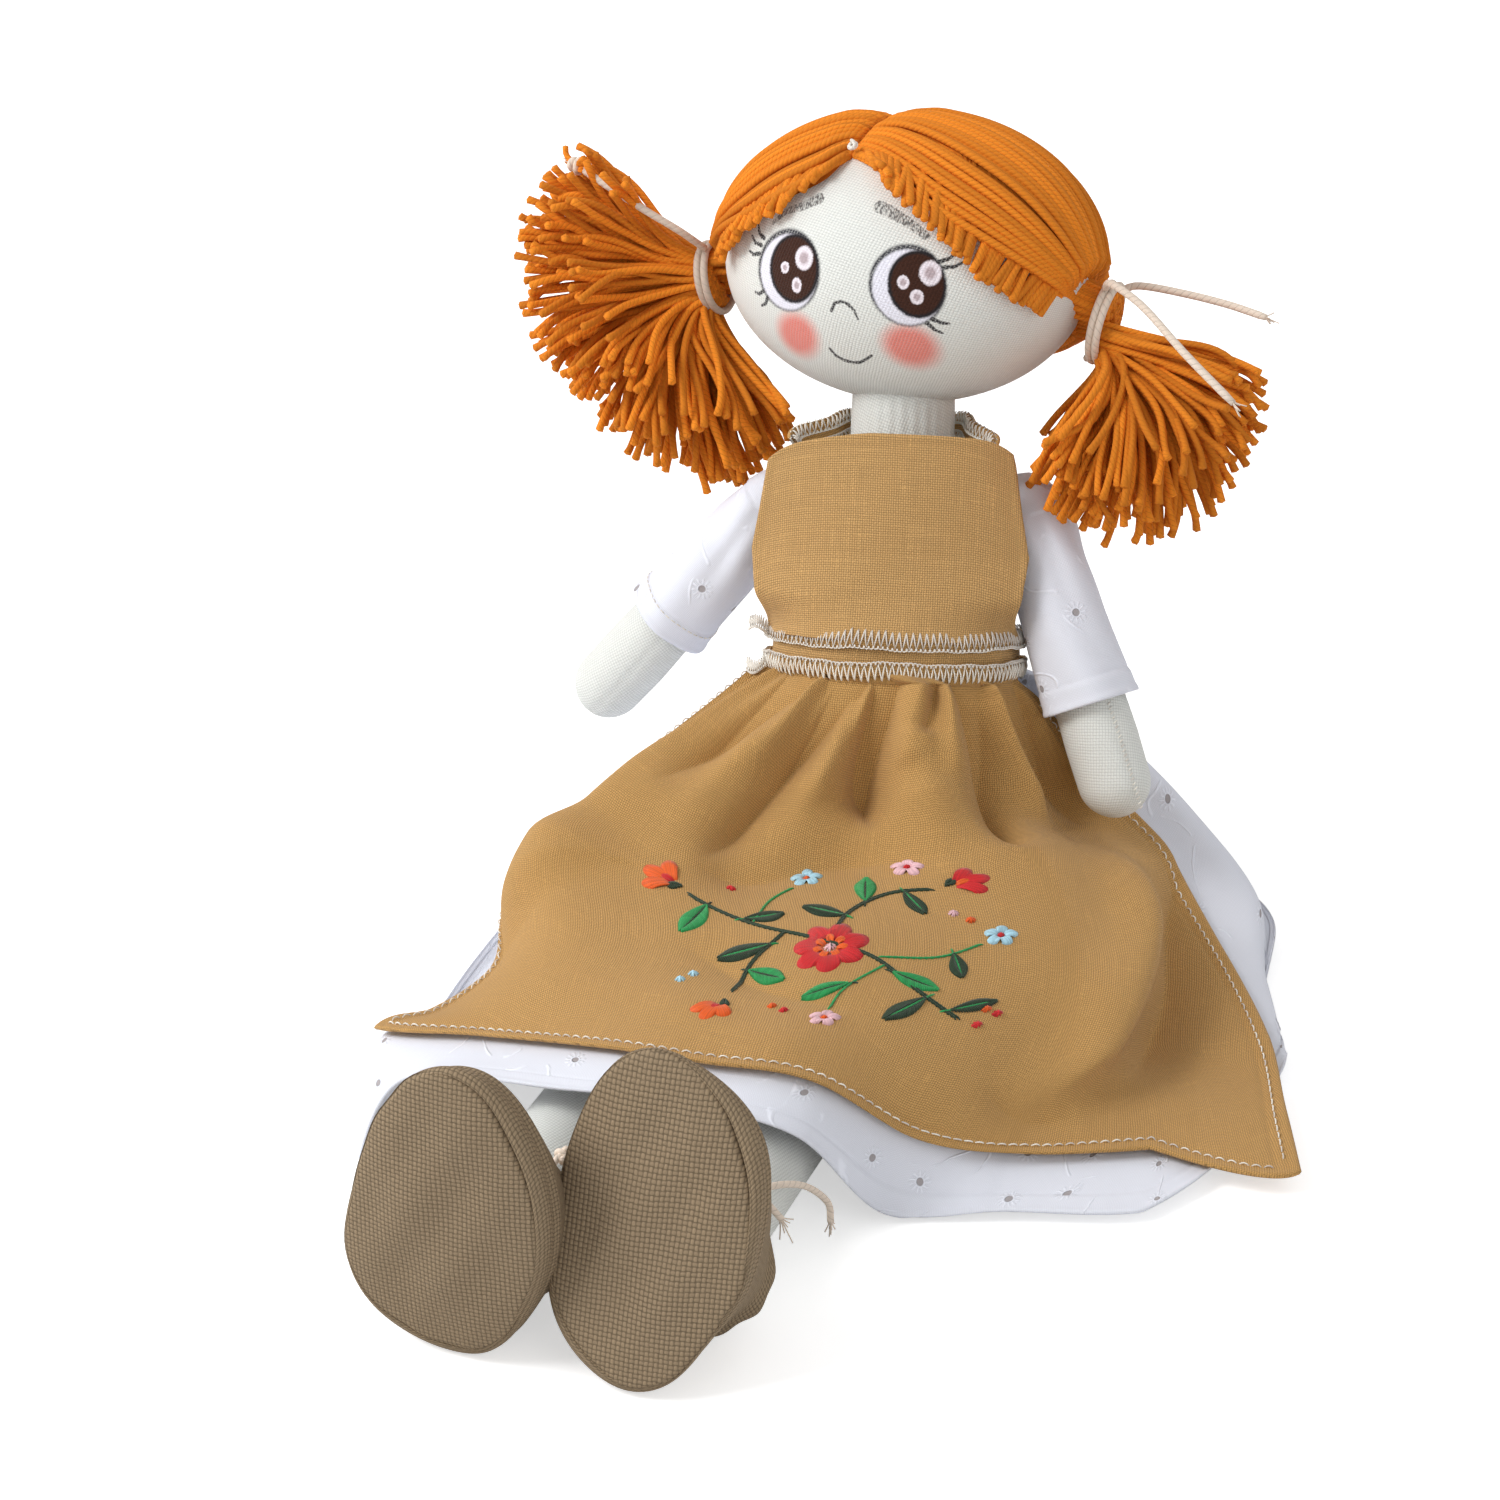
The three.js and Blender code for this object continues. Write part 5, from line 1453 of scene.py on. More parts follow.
class DOLL_OT_apron_top(bpy.types.Operator):
    """Makes the apron's bib, neck straps, waistband and overlocked seams"""

    bl_idname = "doll.apron_top"
    bl_label = "Bib, straps and waistband"

    def execute(self, context):
        self.bib()
        for name in SIDES:
            self.strap(name)
        self.waistband()
        for name, low in (("lower", 76.4), ("upper", 83.6)):
            self.seam(name, low)
        return {"FINISHED"}

    def bib(self):
        def place(u, v):
            across = 2 * u - 1
            p = bib_point(across, BIB_LOW + (bib_top(across) - BIB_LOW) * v, 1.2)
            edge = np.minimum(np.minimum(u, 1 - u) * 70, (1 - v) * 52)
            roll = 0.35 * hump(edge, 0.4, 1.3)
            soft = 0.7 * np.sin(5.1 * u + 3 * v) + 0.4 * np.sin(9 * u - 6 * v + 1) * (1 - v)
            p[:, 1] -= roll + soft - 0.4
            return p

        piece = draped("apron_bib_linen", place, 150, 120, matrix=UPPER)
        thicken(piece, 0.9, offset=1)
        dress_piece(piece, "bib", "apron_bib", body="torso")

    def strap(self, name):
        side = SIDES[name]
        corner = bib_point(np.array([side * 0.97]), np.array([139.8]), -1.6)[0]
        points = [
            (corner[0] - side * 4.4, corner[1], corner[2] - 5),
            (side * 24.5, -12.5, 136.5),
            (side * 18.5, -3, 138.5),
            (side * 15, 8, 140.5),
            (side * 9, 15.5, 139.5),
            (side * 0.4, 18.5, 138),
        ]
        path = smooth_path(points, 40)
        along = unit(np.gradient(path, axis=0))
        up = np.array([side * 0.15, 0.1, 1.0])
        flat = unit(up - along * (along @ up)[:, None])
        normal = side * np.cross(along, flat)

        def place(u, v):
            p, f, n = (sampled(v, np.linspace(0, 1, 40), line) for line in (path, flat, normal))
            return p + f * (side * (u - 0.5) * 8)[:, None] + n * (0.5 + 0.2 * np.sin(9 * v))[:, None]

        piece = draped("apron_strap_linen_" + name, place, 12, 60, matrix=UPPER)
        thicken(piece, 0.9)
        dress_piece(piece, "linen", "apron_strap_" + name, body="torso")
        paths = []
        for sign in (-1, 1):
            edge = path + flat * 4.0 * sign + normal * 0.6
            inner = path + flat * 0.9 * sign + normal * 0.6
            paths += overlock("strap" + name + str(sign), edge, inner, normal)
            paths += overlock("strap in" + name + str(sign), edge - normal * 1.1, inner - normal * 1.1, -normal)
        thread = strands("apron_strap_thread_" + name, paths, 0.2, 5, UPPER)
        dress_piece(thread, "thread", body="torso")

    def waistband(self):
        def place(u, v):
            a = 2 * np.pi * u
            height = 76 + 10 * v
            return torso_ring(a, height, 3.1 + 0.3 * np.sin(np.pi * v) + 0.2 * np.sin(9 * a))

        piece = draped("apron_waistband_linen", place, 140, 16, close=True, matrix=UPPER)
        thicken(piece, 1.0)
        # The waistband takes the bib's paler linen: painted light against the shade between the seams.
        dress_piece(piece, "bib", "apron_waistband", body="torso")

    def seam(self, name, low):
        """A gathered seam that stands out in a ridge. Overlock stitches hold its raw edge, curled at one end."""
        wobble = [(37.0, 0.1, 0.5), (19.0, 0.4, 0.35), (7.3, 0.7, 0.3)]

        def line(a, height, offset):
            shift = mottled_wave(a * 31 + low, wobble)
            return torso_ring(a, height + 0.45 * shift, offset + 0.3 + 0.4 * mottled_wave(a * 31 + 11, wobble))

        def place(u, v):
            a, b = 2 * np.pi * u, 2 * np.pi * v
            return line(a, low + 1.8 + 2.0 * np.sin(b), 3.8 + 0.6 * np.cos(b))

        ridge = draped("waist_seam_linen_" + name, place, 240, 16, close=True, matrix=UPPER)
        dress_piece(ridge, "bib", "waist_seam_" + name, body="torso")
        a = np.linspace(0, 2 * np.pi, 300)
        outer, inner = (low + 4.4, low - 0.1) if name == "upper" else (low - 0.9, low + 3.7)
        edge, base = line(a, outer, 4.1), line(a, inner, 4.5)
        normal = np.stack([np.cos(a), np.sin(a), 0 * a], -1)
        paths = overlock("seam" + name, edge, base, normal, 1.65, bulge=0.45)
        curl = np.linspace(0, 1, 20)
        start = line(np.full(20, math.radians(-160)), np.full(20, low + 1.8), 4.6)
        swing = 5.5 * curl
        sign = 1 if name == "upper" else -1
        spread = np.stack([-swing, -2.2 * np.sin(3.0 * curl), sign * 2.4 * np.sin(2.6 * curl)], -1)
        width = np.array([0, 0.4, 1.0]) * 1.6
        paths += overlock(
            "curl" + name, start + spread + width, start + spread - width, np.tile((0.0, -1.0, 0.2), (20, 1)), 0.8
        )
        thread = strands("waist_seam_thread_" + name, paths, 0.2, 5, UPPER)
        dress_piece(thread, "thread", body="torso")


# Skirts

HEM_ROW = 6
# Each column of the skirts: its direction at the waist in degrees, and its points down to the hem.
SKIRT_COLUMNS = [
    (-168, [(-55, -34, 50), (-66, -58, 30), (-66, -86, 20), (-72, -112, 19), (-80, -126, 20), (-71, -156, 3)]),
    (-150, [(-50, -38, 59), (-60, -66, 46), (-47, -94, 39), (-42, -118, 35), (-48, -135, 30), (-59, -154, 28)]),
    (-130, [(-30, -37, 60), (-34, -64, 47), (-22, -92, 42), (-12, -120, 41), (-9, -143, 40), (-14, -158, 38)]),
    (-108, [(-11, -30, 59), (-11, -54, 46), (6, -84, 43), (13, -118, 42), (15, -142, 41), (15, -156, 40)]),
    (-88, [(7, -20, 57), (11, -40, 45), (29, -77, 43), (35, -112, 40), (38, -133, 37), (41, -147, 32)]),
    (-68, [(23, -14, 56), (38, -34, 45), (54, -66, 37), (59, -100, 27), (58, -115, 17), (56, -128, 3)]),
    (-48, [(37, -4, 52), (60, -20, 42), (77, -49, 29), (79, -78, 14), (80, -100, 8), (82, -116, 3)]),
    (-28, [(48, 14, 38), (70, 2, 33), (87, -15, 18), (98, -46, 8), (107, -79, 5), (113, -103, 3)]),
    (-8, [(58, 36, 36), (77, 30, 23), (98, 8, 12), (120, -22, 5), (134, -53, 4), (144, -75, 3)]),
    (18, [(56, 50, 42), (74, 50, 26), (90, 46, 12), (100, 32, 5), (109, 12, 3), (114, -8, 3)]),
    (55, [(34, 60, 42), (48, 66, 26), (62, 68, 11), (74, 66, 5), (84, 62, 3), (92, 58, 3)]),
    (90, [(-3, 60, 44), (-2, 65, 27), (0, 68, 12), (0, 74, 5), (0, 79, 3), (0, 85, 3)]),
    (125, [(-38, 54, 43), (-50, 59, 26), (-60, 60, 11), (-70, 57, 5), (-78, 53, 3), (-85, 48, 3)]),
    (155, [(-50, 20, 46), (-62, 12, 30), (-72, 3, 14), (-80, -8, 5), (-86, -17, 3), (-91, -24, 3)]),
    (175, [(-56, -10, 47), (-65, -26, 31), (-71, -45, 15), (-78, -66, 6), (-82, -86, 4), (-82, -108, 4)]),
]
COLUMN_COUNT = len(SKIRT_COLUMNS)
APRON_LAST = 8
# The row at which each column of either skirt ends.
DRESS_ENDS = np.array([6] * 8 + [4.4, 5.6] + [6] * 5)
APRON_ENDS = [5] * 7 + [5.1, 6]


def skirt_controls():
    """The seven points of each column, from the waist to the hem."""
    angle = np.radians([at for at, _ in SKIRT_COLUMNS])
    waist = placed(torso_ring(angle, np.full(len(angle), 74.0), 1.7), UPPER)
    return np.concatenate([waist[:, None], np.array([points for _, points in SKIRT_COLUMNS], float)], axis=1)


SKIRT_CONTROLS = skirt_controls()


def column_curve(index, row):
    """Each column's smooth line down the skirt, at a row from 0 at the waist to 6 at the hem."""
    p = SKIRT_CONTROLS[index % COLUMN_COUNT]
    p = np.concatenate([2 * p[:, :1] - p[:, 1:2], p, 2 * p[:, -1:] - p[:, -2:-1]], axis=1)
    row = np.clip(row, 0, HEM_ROW)
    i = np.minimum(row.astype(int), HEM_ROW - 1)
    f = (row - i)[:, None]
    pick = np.arange(len(row))
    a, b, c, d = (p[pick, i + k] for k in range(4))
    gaps = [np.sqrt(np.linalg.norm(y - x, axis=1))[:, None] for x, y in ((a, b), (b, c), (c, d))]
    t1 = ((b - a) / gaps[0] - (c - a) / (gaps[0] + gaps[1]) + (c - b) / gaps[1]) * gaps[1]
    t2 = ((c - b) / gaps[1] - (d - b) / (gaps[1] + gaps[2]) + (d - c) / gaps[2]) * gaps[1]
    return b + t1 * f + (-3 * b + 3 * c - 2 * t1 - t2) * f**2 + (2 * b - 2 * c + t1 + t2) * f**3


def periodic(values, place):
    """Smooth interpolation of one value for each column. values is called with a column number."""
    i = np.floor(place).astype(int)
    f = place - i
    a, b, c, d = (values(i + k) for k in (-1, 0, 1, 2))
    if a.ndim > 1:
        f = f[:, None]
    return 0.5 * (2 * b + (c - a) * f + (2 * a - 5 * b + 4 * c - d) * f**2 + (3 * b - a - 3 * c + d) * f**3)


def skirt_smooth(column, row):
    return periodic(lambda i: column_curve(i, row), column)


def skirt_normal(column, row):
    step = 0.15
    r = np.clip(row, step, HEM_ROW - step)
    across = skirt_smooth(column + step, r) - skirt_smooth(column - step, r)
    down = skirt_smooth(column, r + step) - skirt_smooth(column, r - step)
    normal = np.cross(down, across)
    return unit(normal)


# Every fold: how far it stands out (or in), its half width, and the line it runs along as (column, row).
FOLDS = [
    (-12, 4.6, [(4.14, 0.02), (3.98, 0.54), (4.02, 1.04), (4.3, 1.6)]),
    (7, 9, [(5.0, 0.1), (5.0, 0.6), (5.0, 1.1), (5.0, 1.9)]),
    (2.5, 3.5, [(4.55, 0.05), (4.6, 0.5), (4.6, 0.9)]),
    (5.5, 5, [(3.7, 0.05), (3.5, 0.5), (3.4, 0.9), (3.2, 1.4)]),
    (2.5, 3.5, [(5.5, 0.05), (5.55, 0.5), (5.5, 1.0)]),
    (5, 5, [(6.5, 0.05), (6.6, 0.5), (6.7, 1.3)]),
    (4, 4.5, [(2.75, 0.05), (2.5, 0.5), (2.1, 1.1)]),
    (-8, 5.0, [(3.3, 0.02), (3.05, 0.64), (2.76, 1.44), (2.45, 2.0)]),
    (-11, 4.8, [(5.9, 0.02), (6.1, 0.5), (6.05, 0.9), (5.9, 1.4), (5.85, 1.75)]),
    (-4, 3, [(5.2, 0.05), (5.0, 0.3), (4.9, 0.5)]),
    (-6, 4.5, [(7.2, 0.02), (7.3, 0.5), (7.3, 1.2)]),
    (-6, 5, [(2.2, 0.02), (1.8, 0.5), (1.5, 1.2)]),
    (-5, 10, [(2.3, 2.0), (3, 2.1), (4, 1.95), (5, 1.9)]),
    (10, 8.5, [(7.4, 1.7), (6.88, 2.33), (6.33, 3.25), (6.12, 3.85), (5.52, 4.23)]),
    (-8, 7.5, [(8.2, 1.8), (7.5, 2.6), (7, 3.6), (6.7, 4.2)]),
    (6, 20, [(0.6, 1.3), (0.5, 2.0), (0.7, 2.7)]),
    (-2.2, 6, [(2.12, 2.99), (3.12, 3.61), (4.55, 3.77)]),
    (1.2, 9, [(1.6, 3.6), (3.1, 4.3), (4.6, 4.35)]),
    (-1.6, 5, [(5.3, 4), (5.9, 4.45), (6.4, 4.5)]),
    (4.5, 8, [(8.75, 0.1), (8.8, 1.2), (8.9, 3.2), (9.0, 5.0)]),
    (-3.5, 6, [(9.4, 0.05), (9.5, 1.2), (9.7, 4.2)]),
    (5, 9, [(10.0, 0.1), (10.1, 2.2), (10.2, 5.2)]),
    (-4, 6, [(10.7, 0.05), (10.8, 2.2), (11.0, 4.6)]),
    (4.5, 8, [(11.3, 0.1), (11.4, 2.2), (11.6, 5.4)]),
    (-3.5, 6, [(11.9, 0.05), (12.1, 2.0), (12.2, 4.6)]),
    (5, 9, [(12.6, 0.1), (12.7, 2.2), (12.9, 5.2)]),
    (-3.5, 6, [(13.2, 0.05), (13.3, 2.4), (13.4, 4.6)]),
    (4, 8, [(13.8, 0.1), (13.9, 2.4), (14.0, 5.0)]),
]


def skirt_folds(column, row, points):
    """How far the cloth stands out of its smooth form: gathers under the waist that run into the named folds."""
    r = np.maximum(row, 0)
    fine = np.sin(2 * np.pi * column / 0.47 + 1.5 * np.sin(2.1 * column)) * np.exp(-r / 0.42)
    wide = np.sin(2 * np.pi * column / 1.07 + 0.9 * np.sin(1.3 * column) + 0.5 * r) * np.exp(-r)
    height = (1.6 * fine + 1.4 * wide) * np.clip((row + 0.1) / 0.2, 0, 1)
    for amount, width, route in FOLDS:
        line = smooth_path([(c, at, 0) for c, at in route], 26)
        middle = skirt_smooth(line[:, 0], line[:, 1])
        reach = 3.2 * width
        close = np.all((points > middle.min(axis=0) - reach) & (points < middle.max(axis=0) + reach), axis=1)
        if not close.any():
            continue
        p = points[close]
        near, share = np.full(len(p), np.inf), np.zeros(len(p))
        for k in range(25):
            way = middle[k + 1] - middle[k]
            t = np.clip((p - middle[k]) @ way / (way @ way), 0, 1)
            far = np.linalg.norm(p - middle[k] - t[:, None] * way, axis=1)
            share = np.where(far < near, (k + t) / 25, share)
            near = np.minimum(far, near)
        ends = np.clip((1 - share) / 0.35, 0, 1) * (1 if route[0][1] < 0.4 else np.clip(share / 0.35, 0, 1))
        crisp = 1.15 if amount < 0 else 2.0
        height[close] += amount * np.exp(-((near / width) ** crisp)) * eased(ends)
    return np.maximum(height, -0.7 - 9 * r)


WAIST_ANGLES = np.radians([at - 13 for at, _ in SKIRT_COLUMNS] + [SKIRT_COLUMNS[0][0] + 347])
HEADING = 0.38


def skirt_point(column, row, layer):
    """A point of a skirt, layer millimetres out of the smooth form. Rows below 0 are the gathered heading that is
    sewn under the waist seam."""
    row = np.asarray(row, float)
    under = np.clip(-row / HEADING, 0, 1)[:, None]
    smooth = skirt_smooth(column, np.maximum(row, 0))
    out = layer + skirt_folds(column, row, smooth)
    free = smooth + skirt_normal(column, np.maximum(row, 0)) * out[:, None]
    angle = np.interp(column, np.arange(COLUMN_COUNT + 1), WAIST_ANGLES)
    height = np.full(len(row), 78.0)
    inner, sewn = (placed(torso_ring(angle, height, off), UPPER) for off in (0.0, 0.55 * np.max(layer) + 2.0))
    puff = np.sin(np.pi * under) * (sewn - inner) * 0.25
    share = eased(under)
    p = free * (1 - share) + sewn * share + puff
    p[:, 2] = np.maximum(p[:, 2], 1.4 + layer)
    return p


def dress_end(column):
    return np.minimum(HEM_ROW, periodic(lambda i: DRESS_ENDS[i % COLUMN_COUNT], column))


def apron_end(column):
    return np.interp(column, np.arange(APRON_LAST + 1), APRON_ENDS)


def apron_point(u, v, layer=2.5):
    column = u * APRON_LAST
    return skirt_point(column, v * (apron_end(column) + HEADING) - HEADING, layer)


def hang(piece):
    """Bakes the cloth's placement into its mesh."""
    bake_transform(piece)


class DOLL_OT_dress_skirt(bpy.types.Operator):
    """Drapes the white skirt"""

    bl_idname = "doll.dress_skirt"
    bl_label = "Dress skirt"

    def execute(self, context):
        def place(u, v):
            column = u * COLUMN_COUNT
            end = dress_end(column)
            p = skirt_point(column, v * (end + HEADING) - HEADING, -0.1)
            far = (1 - v) * 165
            normal = skirt_normal(column, end)
            fold = 0.45 * hump(far, 1.2, 1.0) + 0.35 * (far < 9) - 0.3 * hump(far, 9.6, 0.5)
            return p + normal * fold[:, None]

        piece = draped("dress_skirt_cotton", place, 400, 160, close=True)
        thicken(piece, 0.7)
        dress_piece(piece, "cotton", "dress_skirt")
        hang(piece)
        return {"FINISHED"}


class DOLL_OT_apron_skirt(bpy.types.Operator):
    """Drapes the apron's skirt and sews its hem"""

    bl_idname = "doll.apron_skirt"
    bl_label = "Apron skirt"

    def execute(self, context):
        def place(u, v):
            p = apron_point(u, v)
            edge = np.minimum(np.minimum(u * 230, (1 - u) * 180), (1 - v) * 130)
            normal = skirt_normal(u * APRON_LAST, v * apron_end(u * APRON_LAST))
            roll = 0.5 * hump(edge, 0.9, 1.0) - 0.35 * hump(edge, 4.6, 0.6)
            return p + normal * (roll + 0.25 * (edge < 4.6))[:, None]

        piece = draped("apron_skirt_linen", place, 340, 200)
        thicken(piece, 0.95, offset=1)
        dress_piece(piece, "linen", "apron_skirt")
        hang(piece)
        thread = strands("apron_hem_thread", self.running_stitches(), 0.2, 5)
        dress_piece(thread, "thread")
        hang(thread)
        return {"FINISHED"}

    def running_stitches(self):
        hem = np.stack([np.linspace(0.015, 0.982, 900), np.full(900, 0.974)], -1)
        sides = [np.stack([np.full(500, u), np.linspace(0.09, 0.974, 500)], -1) for u in (0.982, 0.015)]
        tracks, lifts = [], []
        for track in (hem, *sides):
            p = apron_point(track[:, 0], track[:, 1], 2.6)
            far = travelled(p)
            for start in np.arange(1, far[-1] - 3, 3.0):
                at = np.linspace(start, start + 2.3, 5)
                tracks.append(sampled(at, far, track))
                lifts.append([2.6, 3.15, 3.3, 3.15, 2.6])
        flat = np.concatenate(tracks)
        points = apron_point(flat[:, 0], flat[:, 1], np.concatenate(lifts))
        return list(points.reshape(-1, 5, 3))


# The embroidered spray lies in this box of the apron, its corners as (column, row) read from the upper left.
SPRAY_BOX = ((2.05, 1.97), (5.52, 1.85), (2.29, 4.52), (5.38, 3.49))
SPRAY_WIDTH, SPRAY_HEIGHT = 90.0, 74.0


class DOLL_OT_embroidery(bpy.types.Operator):
    """Sews a spray of flowers, buds and leaves on the apron in satin and stem stitch"""

    bl_idname = "doll.embroidery"
    bl_label = "Embroidery"

    def execute(self, context):
        self.threads = {}
        self.stems()
        self.leaves()
        self.flowers()
        for colour, lines in self.threads.items():
            flat = np.array([line for line, _ in lines]).reshape(-1, 2)
            lift = np.array([line_lift for _, line_lift in lines]).ravel()
            s, t = flat[:, 0] / SPRAY_WIDTH + 0.5, 0.5 - flat[:, 1] / SPRAY_HEIGHT
            box = np.array(SPRAY_BOX)
            top, bottom = box[0] + np.outer(s, box[1] - box[0]), box[2] + np.outer(s, box[3] - box[2])
            at = top + (bottom - top) * t[:, None]
            points = skirt_point(at[:, 0], at[:, 1], 2.5 + lift)
            piece = strands("embroidery_" + colour.replace(" ", "_"), list(points.reshape(-1, 5, 3)), 0.27, 5)
            dress_piece(piece, colour)
            hang(piece)
        return {"FINISHED"}

    def thread(self, colour, start, finish, lift=0.35):
        line = [
            (start[0] + (finish[0] - start[0]) * k / 4, start[1] + (finish[1] - start[1]) * k / 4) for k in range(5)
        ]
        self.threads.setdefault(colour, []).append(
            (line, [-0.15, 0.75 * lift + 0.05, lift + 0.05, 0.75 * lift + 0.05, -0.15])
        )

    def stem(self, colour, points, rows=2):
        path = smooth_path([(x, y, 0) for x, y in points], 200)
        far = travelled(path)
        for row in range(rows):
            for start in np.arange(0.7 * row, far[-1] - 2.8, 1.5):
                a, b = (sampled(start + step, far, path[:, :2]) for step in (0, 2.9))
                across = unit(np.array([b[1] - a[1], a[0] - b[0]]))
                self.thread(colour, a + across * (0.55 * row - 0.2), b + across * (0.55 * row + 0.15), 0.2)

    def leaf(self, colour, base, tip, width, vein=None):
        """Slanted satin stitches from the middle vein to each edge."""
        base, tip = np.array(base, float), np.array(tip, float)
        along = tip - base
        length = float(np.linalg.norm(along))
        along /= length
        across = np.array([along[1], -along[0]])
        for side in (-1, 1):
            for at in np.arange(0.3, length - 0.6, 0.5):
                half = width * math.sin(math.pi * (at / length) ** 0.8)
                middle = base + along * at
                edge = base + along * min(at + 0.55 * half + 0.5, length) + across * side * half
                self.thread(colour, middle, edge, 0.4)
        if vein:
            self.stem(vein, [base - along * 2, base + along * length * 0.5, tip - along * 0.5], 1)

    def petal(self, colour, centre, turn, start, length, width):
        """Long stitches side by side that fan out from the middle of a flower."""
        out = np.array([math.cos(turn), math.sin(turn)])
        across = np.array([-out[1], out[0]])
        count = int(width / 0.24)
        for k in range(count):
            s = 2 * (k + 0.5) / count - 1
            reach = length * (0.62 + 0.38 * math.sqrt(1 - s * s))
            low = centre + out * start + across * s * width * 0.28
            self.thread(colour, low, centre + out * reach + across * s * width * 0.5, 0.55)

    def knot(self, colour, centre, radius):
        for k in range(5):
            turn = 1.2 * k
            out = np.array([math.cos(turn), math.sin(turn)]) * radius
            self.thread(colour, np.array(centre) - out, np.array(centre) + out, 0.35 + 0.09 * k)

    def stems(self):
        self.stem("dark green", [(-37, 24), (-24, 10), (-8, 1), (8, -8), (20, -20), (34, -33)])
        self.stem("dark green", [(-16, 5), (-24, -6), (-27, -19)])
        self.stem("dark green", [(-4, -1), (2, 10), (14, 19), (26, 22)])
        self.stem("green", [(10, -9), (24, -8), (36, -2)], 1)
        self.stem("green", [(12, -12), (4, -22), (2, -31)], 1)
        self.stem("green", [(-24, 10), (-17, 20), (-8, 27)], 1)

    def leaves(self):
        for colour, base, tip, width in (
            ("green", (-33, 19), (-41, 8), 2.8),
            ("dark green", (-26, 12), (-15, 13), 2.5),
            ("dark green", (-20, 0), (-33, -3), 2.9),
            ("green", (-25, -9), (-14, -15), 2.6),
            ("dark green", (2, 9), (-9, 15), 2.7),
            ("green", (8, 15), (10, 28), 2.7),
            ("dark green", (18, 20), (22, 10), 2.3),
            ("green", (14, -15), (26, -21), 2.6),
            ("dark green", (24, -24), (16, -34), 2.8),
            ("dark green", (28, -6), (31, -16), 2.2),
            ("green", (5, -20), (-7, -23), 2.6),
            ("dark green", (30, -29), (41, -26), 2.4),
        ):
            self.leaf(colour, base, tip, width, "green" if colour == "dark green" else "dark green")

    def flowers(self):
        big = np.array([-3.0, -4.0])
        for k in range(7):
            self.petal("red", big, 0.3 + k * 2 * math.pi / 7, 3.0, 10.5, 6.6)
        for k in range(7):
            self.petal("orange", big, 0.3 + (k + 0.5) * 2 * math.pi / 7, 2.0, 6.0, 2.4)
        self.knot("pink", big, 1.7)
        self.knot("dark green", big + (0.2, 0.1), 0.9)
        for centre, turn, outer, inner in (
            ((-29, -26), -1.9, "orange", "red"), ((31, 24), 0.35, "red", "orange"), ((-40, 28), 2.5, "orange", "red")
        ):
            middle = np.array(centre, float)
            for step in (-0.75, 0.75, 0.0):
                self.petal(outer, middle, turn + step, 0.5, 8.0 if step else 9.0, 4.4)
            self.petal(inner, middle, turn, 0.0, 5.2, 2.0)
            self.leaf(
                "dark green", middle - 3.0 * np.array([math.cos(turn), math.sin(turn)]),
                middle + 2.0 * np.array([math.cos(turn + 1.4), math.sin(turn + 1.4)]), 1.3
            )
        for centre, colour, heart in (
            ((40, 1), "blue", "red"), ((2, -35), "pink", "orange"), ((-5, 31), "blue", "orange"),
            ((20, 32), "pink", "red")
        ):
            middle = np.array(centre, float)
            for k in range(5):
                self.petal(colour, middle, 0.2 + k * 2 * math.pi / 5, 0.8, 4.2, 2.9)
            self.knot(heart, middle, 0.9)
        for centre, colour in (
            ((38, -35), "red"), ((42, -31), "red"), ((39, -29), "orange"), ((-38, -10), "blue"), ((-41, -13), "blue"),
            ((-14, -27), "orange"), ((-10, -30), "red"), ((33, 8), "orange"), ((29, 11), "pink"), ((-25, 29), "red")
        ):
            self.knot(colour, centre, 1.25)


# Stage


# Each lamp: its place and size in metres, and its power in watts.
LAMPS = [
    ("key", (-1.1, -1.0, 1.5), 0.9, 26.0),
    ("fill", (1.3, -0.9, 0.8), 1.2, 5.0),
    ("side", (-1.5, -0.2, 0.7), 1.0, 8.0),
    ("back", (0.3, 1.3, 1.2), 1.0, 4.0),
]


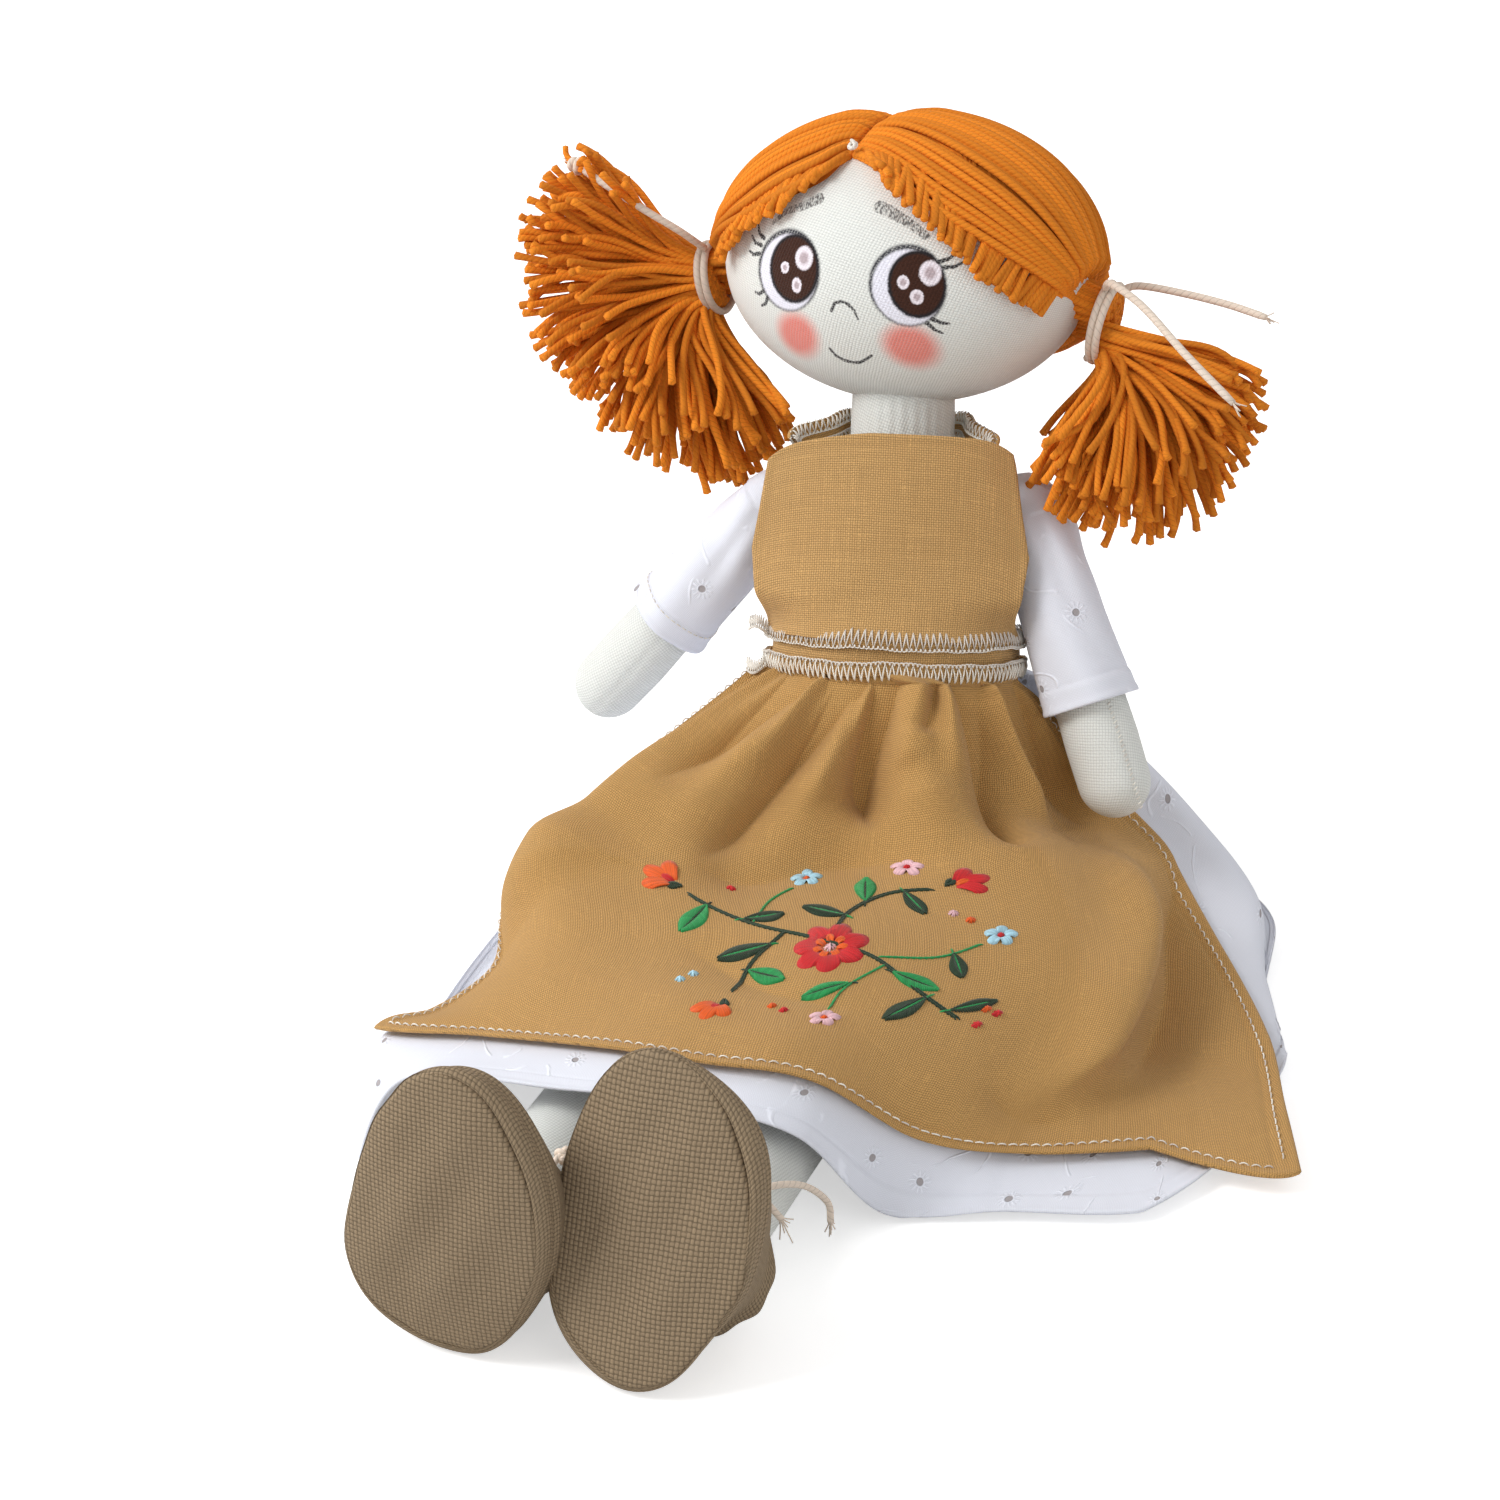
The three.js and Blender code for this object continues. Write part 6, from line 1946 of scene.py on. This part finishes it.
class DOLL_OT_stage(bpy.types.Operator):
    """Lights the doll softly on a white floor"""

    bl_idname = "doll.stage"
    bl_label = "Stage"

    def execute(self, context):
        deselect()
        bpy.ops.mesh.primitive_plane_add(size=8, location=(0, 0, -0.0004))
        floor = context.object
        floor.name = "floor"
        surface = bpy.data.materials.new("floor_white")
        surface.use_nodes = True
        tree = surface.node_tree
        tree.nodes.remove(tree.nodes["Principled BSDF"])
        seen = self.seen(tree)
        diffuse = linked(tree, "ShaderNodeBsdfDiffuse", {"Color": (0.85, 0.85, 0.85, 1)})
        glow = linked(
            tree, "ShaderNodeEmission", {"Color": (1, 1, 1, 1), "Strength": calc(tree, "MULTIPLY", seen, 0.55)}
        )
        both = linked(tree, "ShaderNodeAddShader", {0: diffuse.outputs[0], 1: glow.outputs[0]})
        tree.links.new(both.outputs[0], tree.nodes["Material Output"].inputs["Surface"])
        floor.data.materials.append(surface)
        world = bpy.data.worlds.new("soft room")
        world.use_nodes = True
        context.scene.world = world
        tree = world.node_tree
        background = tree.nodes["Background"]
        seen = self.seen(tree)
        strength = linked(tree, "ShaderNodeMapRange", {"Value": seen, "To Min": 0.47, "To Max": 1.0})
        tree.links.new(strength.outputs[0], background.inputs["Strength"])
        background.inputs["Color"].default_value = (1, 1, 1, 1)
        for name, place, size, power in LAMPS:
            bpy.ops.object.light_add(type="AREA", location=place)
            lamp = context.object
            lamp.name = "lamp_" + name
            lamp.data.size = size
            lamp.data.energy = power
            aim = Vector(place) - Vector((0, -0.04, 0.09))
            lamp.rotation_euler = aim.to_track_quat("Z", "Y").to_euler()
        context.scene.view_settings.view_transform = "Standard"
        return {"FINISHED"}

    def seen(self, tree):
        path = linked(tree, "ShaderNodeLightPath").outputs
        return largest(tree, *(path[f"Is {kind} Ray"] for kind in ("Camera", "Glossy", "Transmission")))


class DOLL_PT_panel(bpy.types.Panel):
    """Sizes, colours and steps of the doll"""

    bl_label = "Handmade Cloth Doll"
    bl_idname = "DOLL_PT_panel"
    bl_space_type = "VIEW_3D"
    bl_region_type = "UI"
    bl_category = "Doll"

    def draw(self, context):
        for group_name in ("doll_sizes", "doll_colours"):
            values = getattr(context.scene, group_name)
            for key in values.bl_rna.properties.keys():
                if key not in ("rna_type", "name"):
                    self.layout.prop(values, key)
        for step in STEPS:
            self.layout.operator(step.bl_idname)


STEPS = [
    DOLL_OT_camera,
    DOLL_OT_tie_ends,
    DOLL_OT_body,
    DOLL_OT_shoes,
    DOLL_OT_head,
    DOLL_OT_hair,
    DOLL_OT_bunches,
    DOLL_OT_arms,
    DOLL_OT_bodice,
    DOLL_OT_apron_top,
    DOLL_OT_dress_skirt,
    DOLL_OT_apron_skirt,
    DOLL_OT_embroidery,
    DOLL_OT_stage,
]
CLASSES = [DollSizes, DollColours, *STEPS, DOLL_PT_panel]


def register():
    for kind in CLASSES:
        bpy.utils.register_class(kind)
    bpy.types.Scene.doll_sizes = bpy.props.PointerProperty(type=DollSizes)
    bpy.types.Scene.doll_colours = bpy.props.PointerProperty(type=DollColours)


def unregister():
    del bpy.types.Scene.doll_sizes
    del bpy.types.Scene.doll_colours
    for kind in reversed(CLASSES):
        bpy.utils.unregister_class(kind)


def main():
    register()
    for step in STEPS:
        section, name = step.bl_idname.split(".")
        getattr(getattr(bpy.ops, section), name)()


if __name__ == "__main__":
    main()
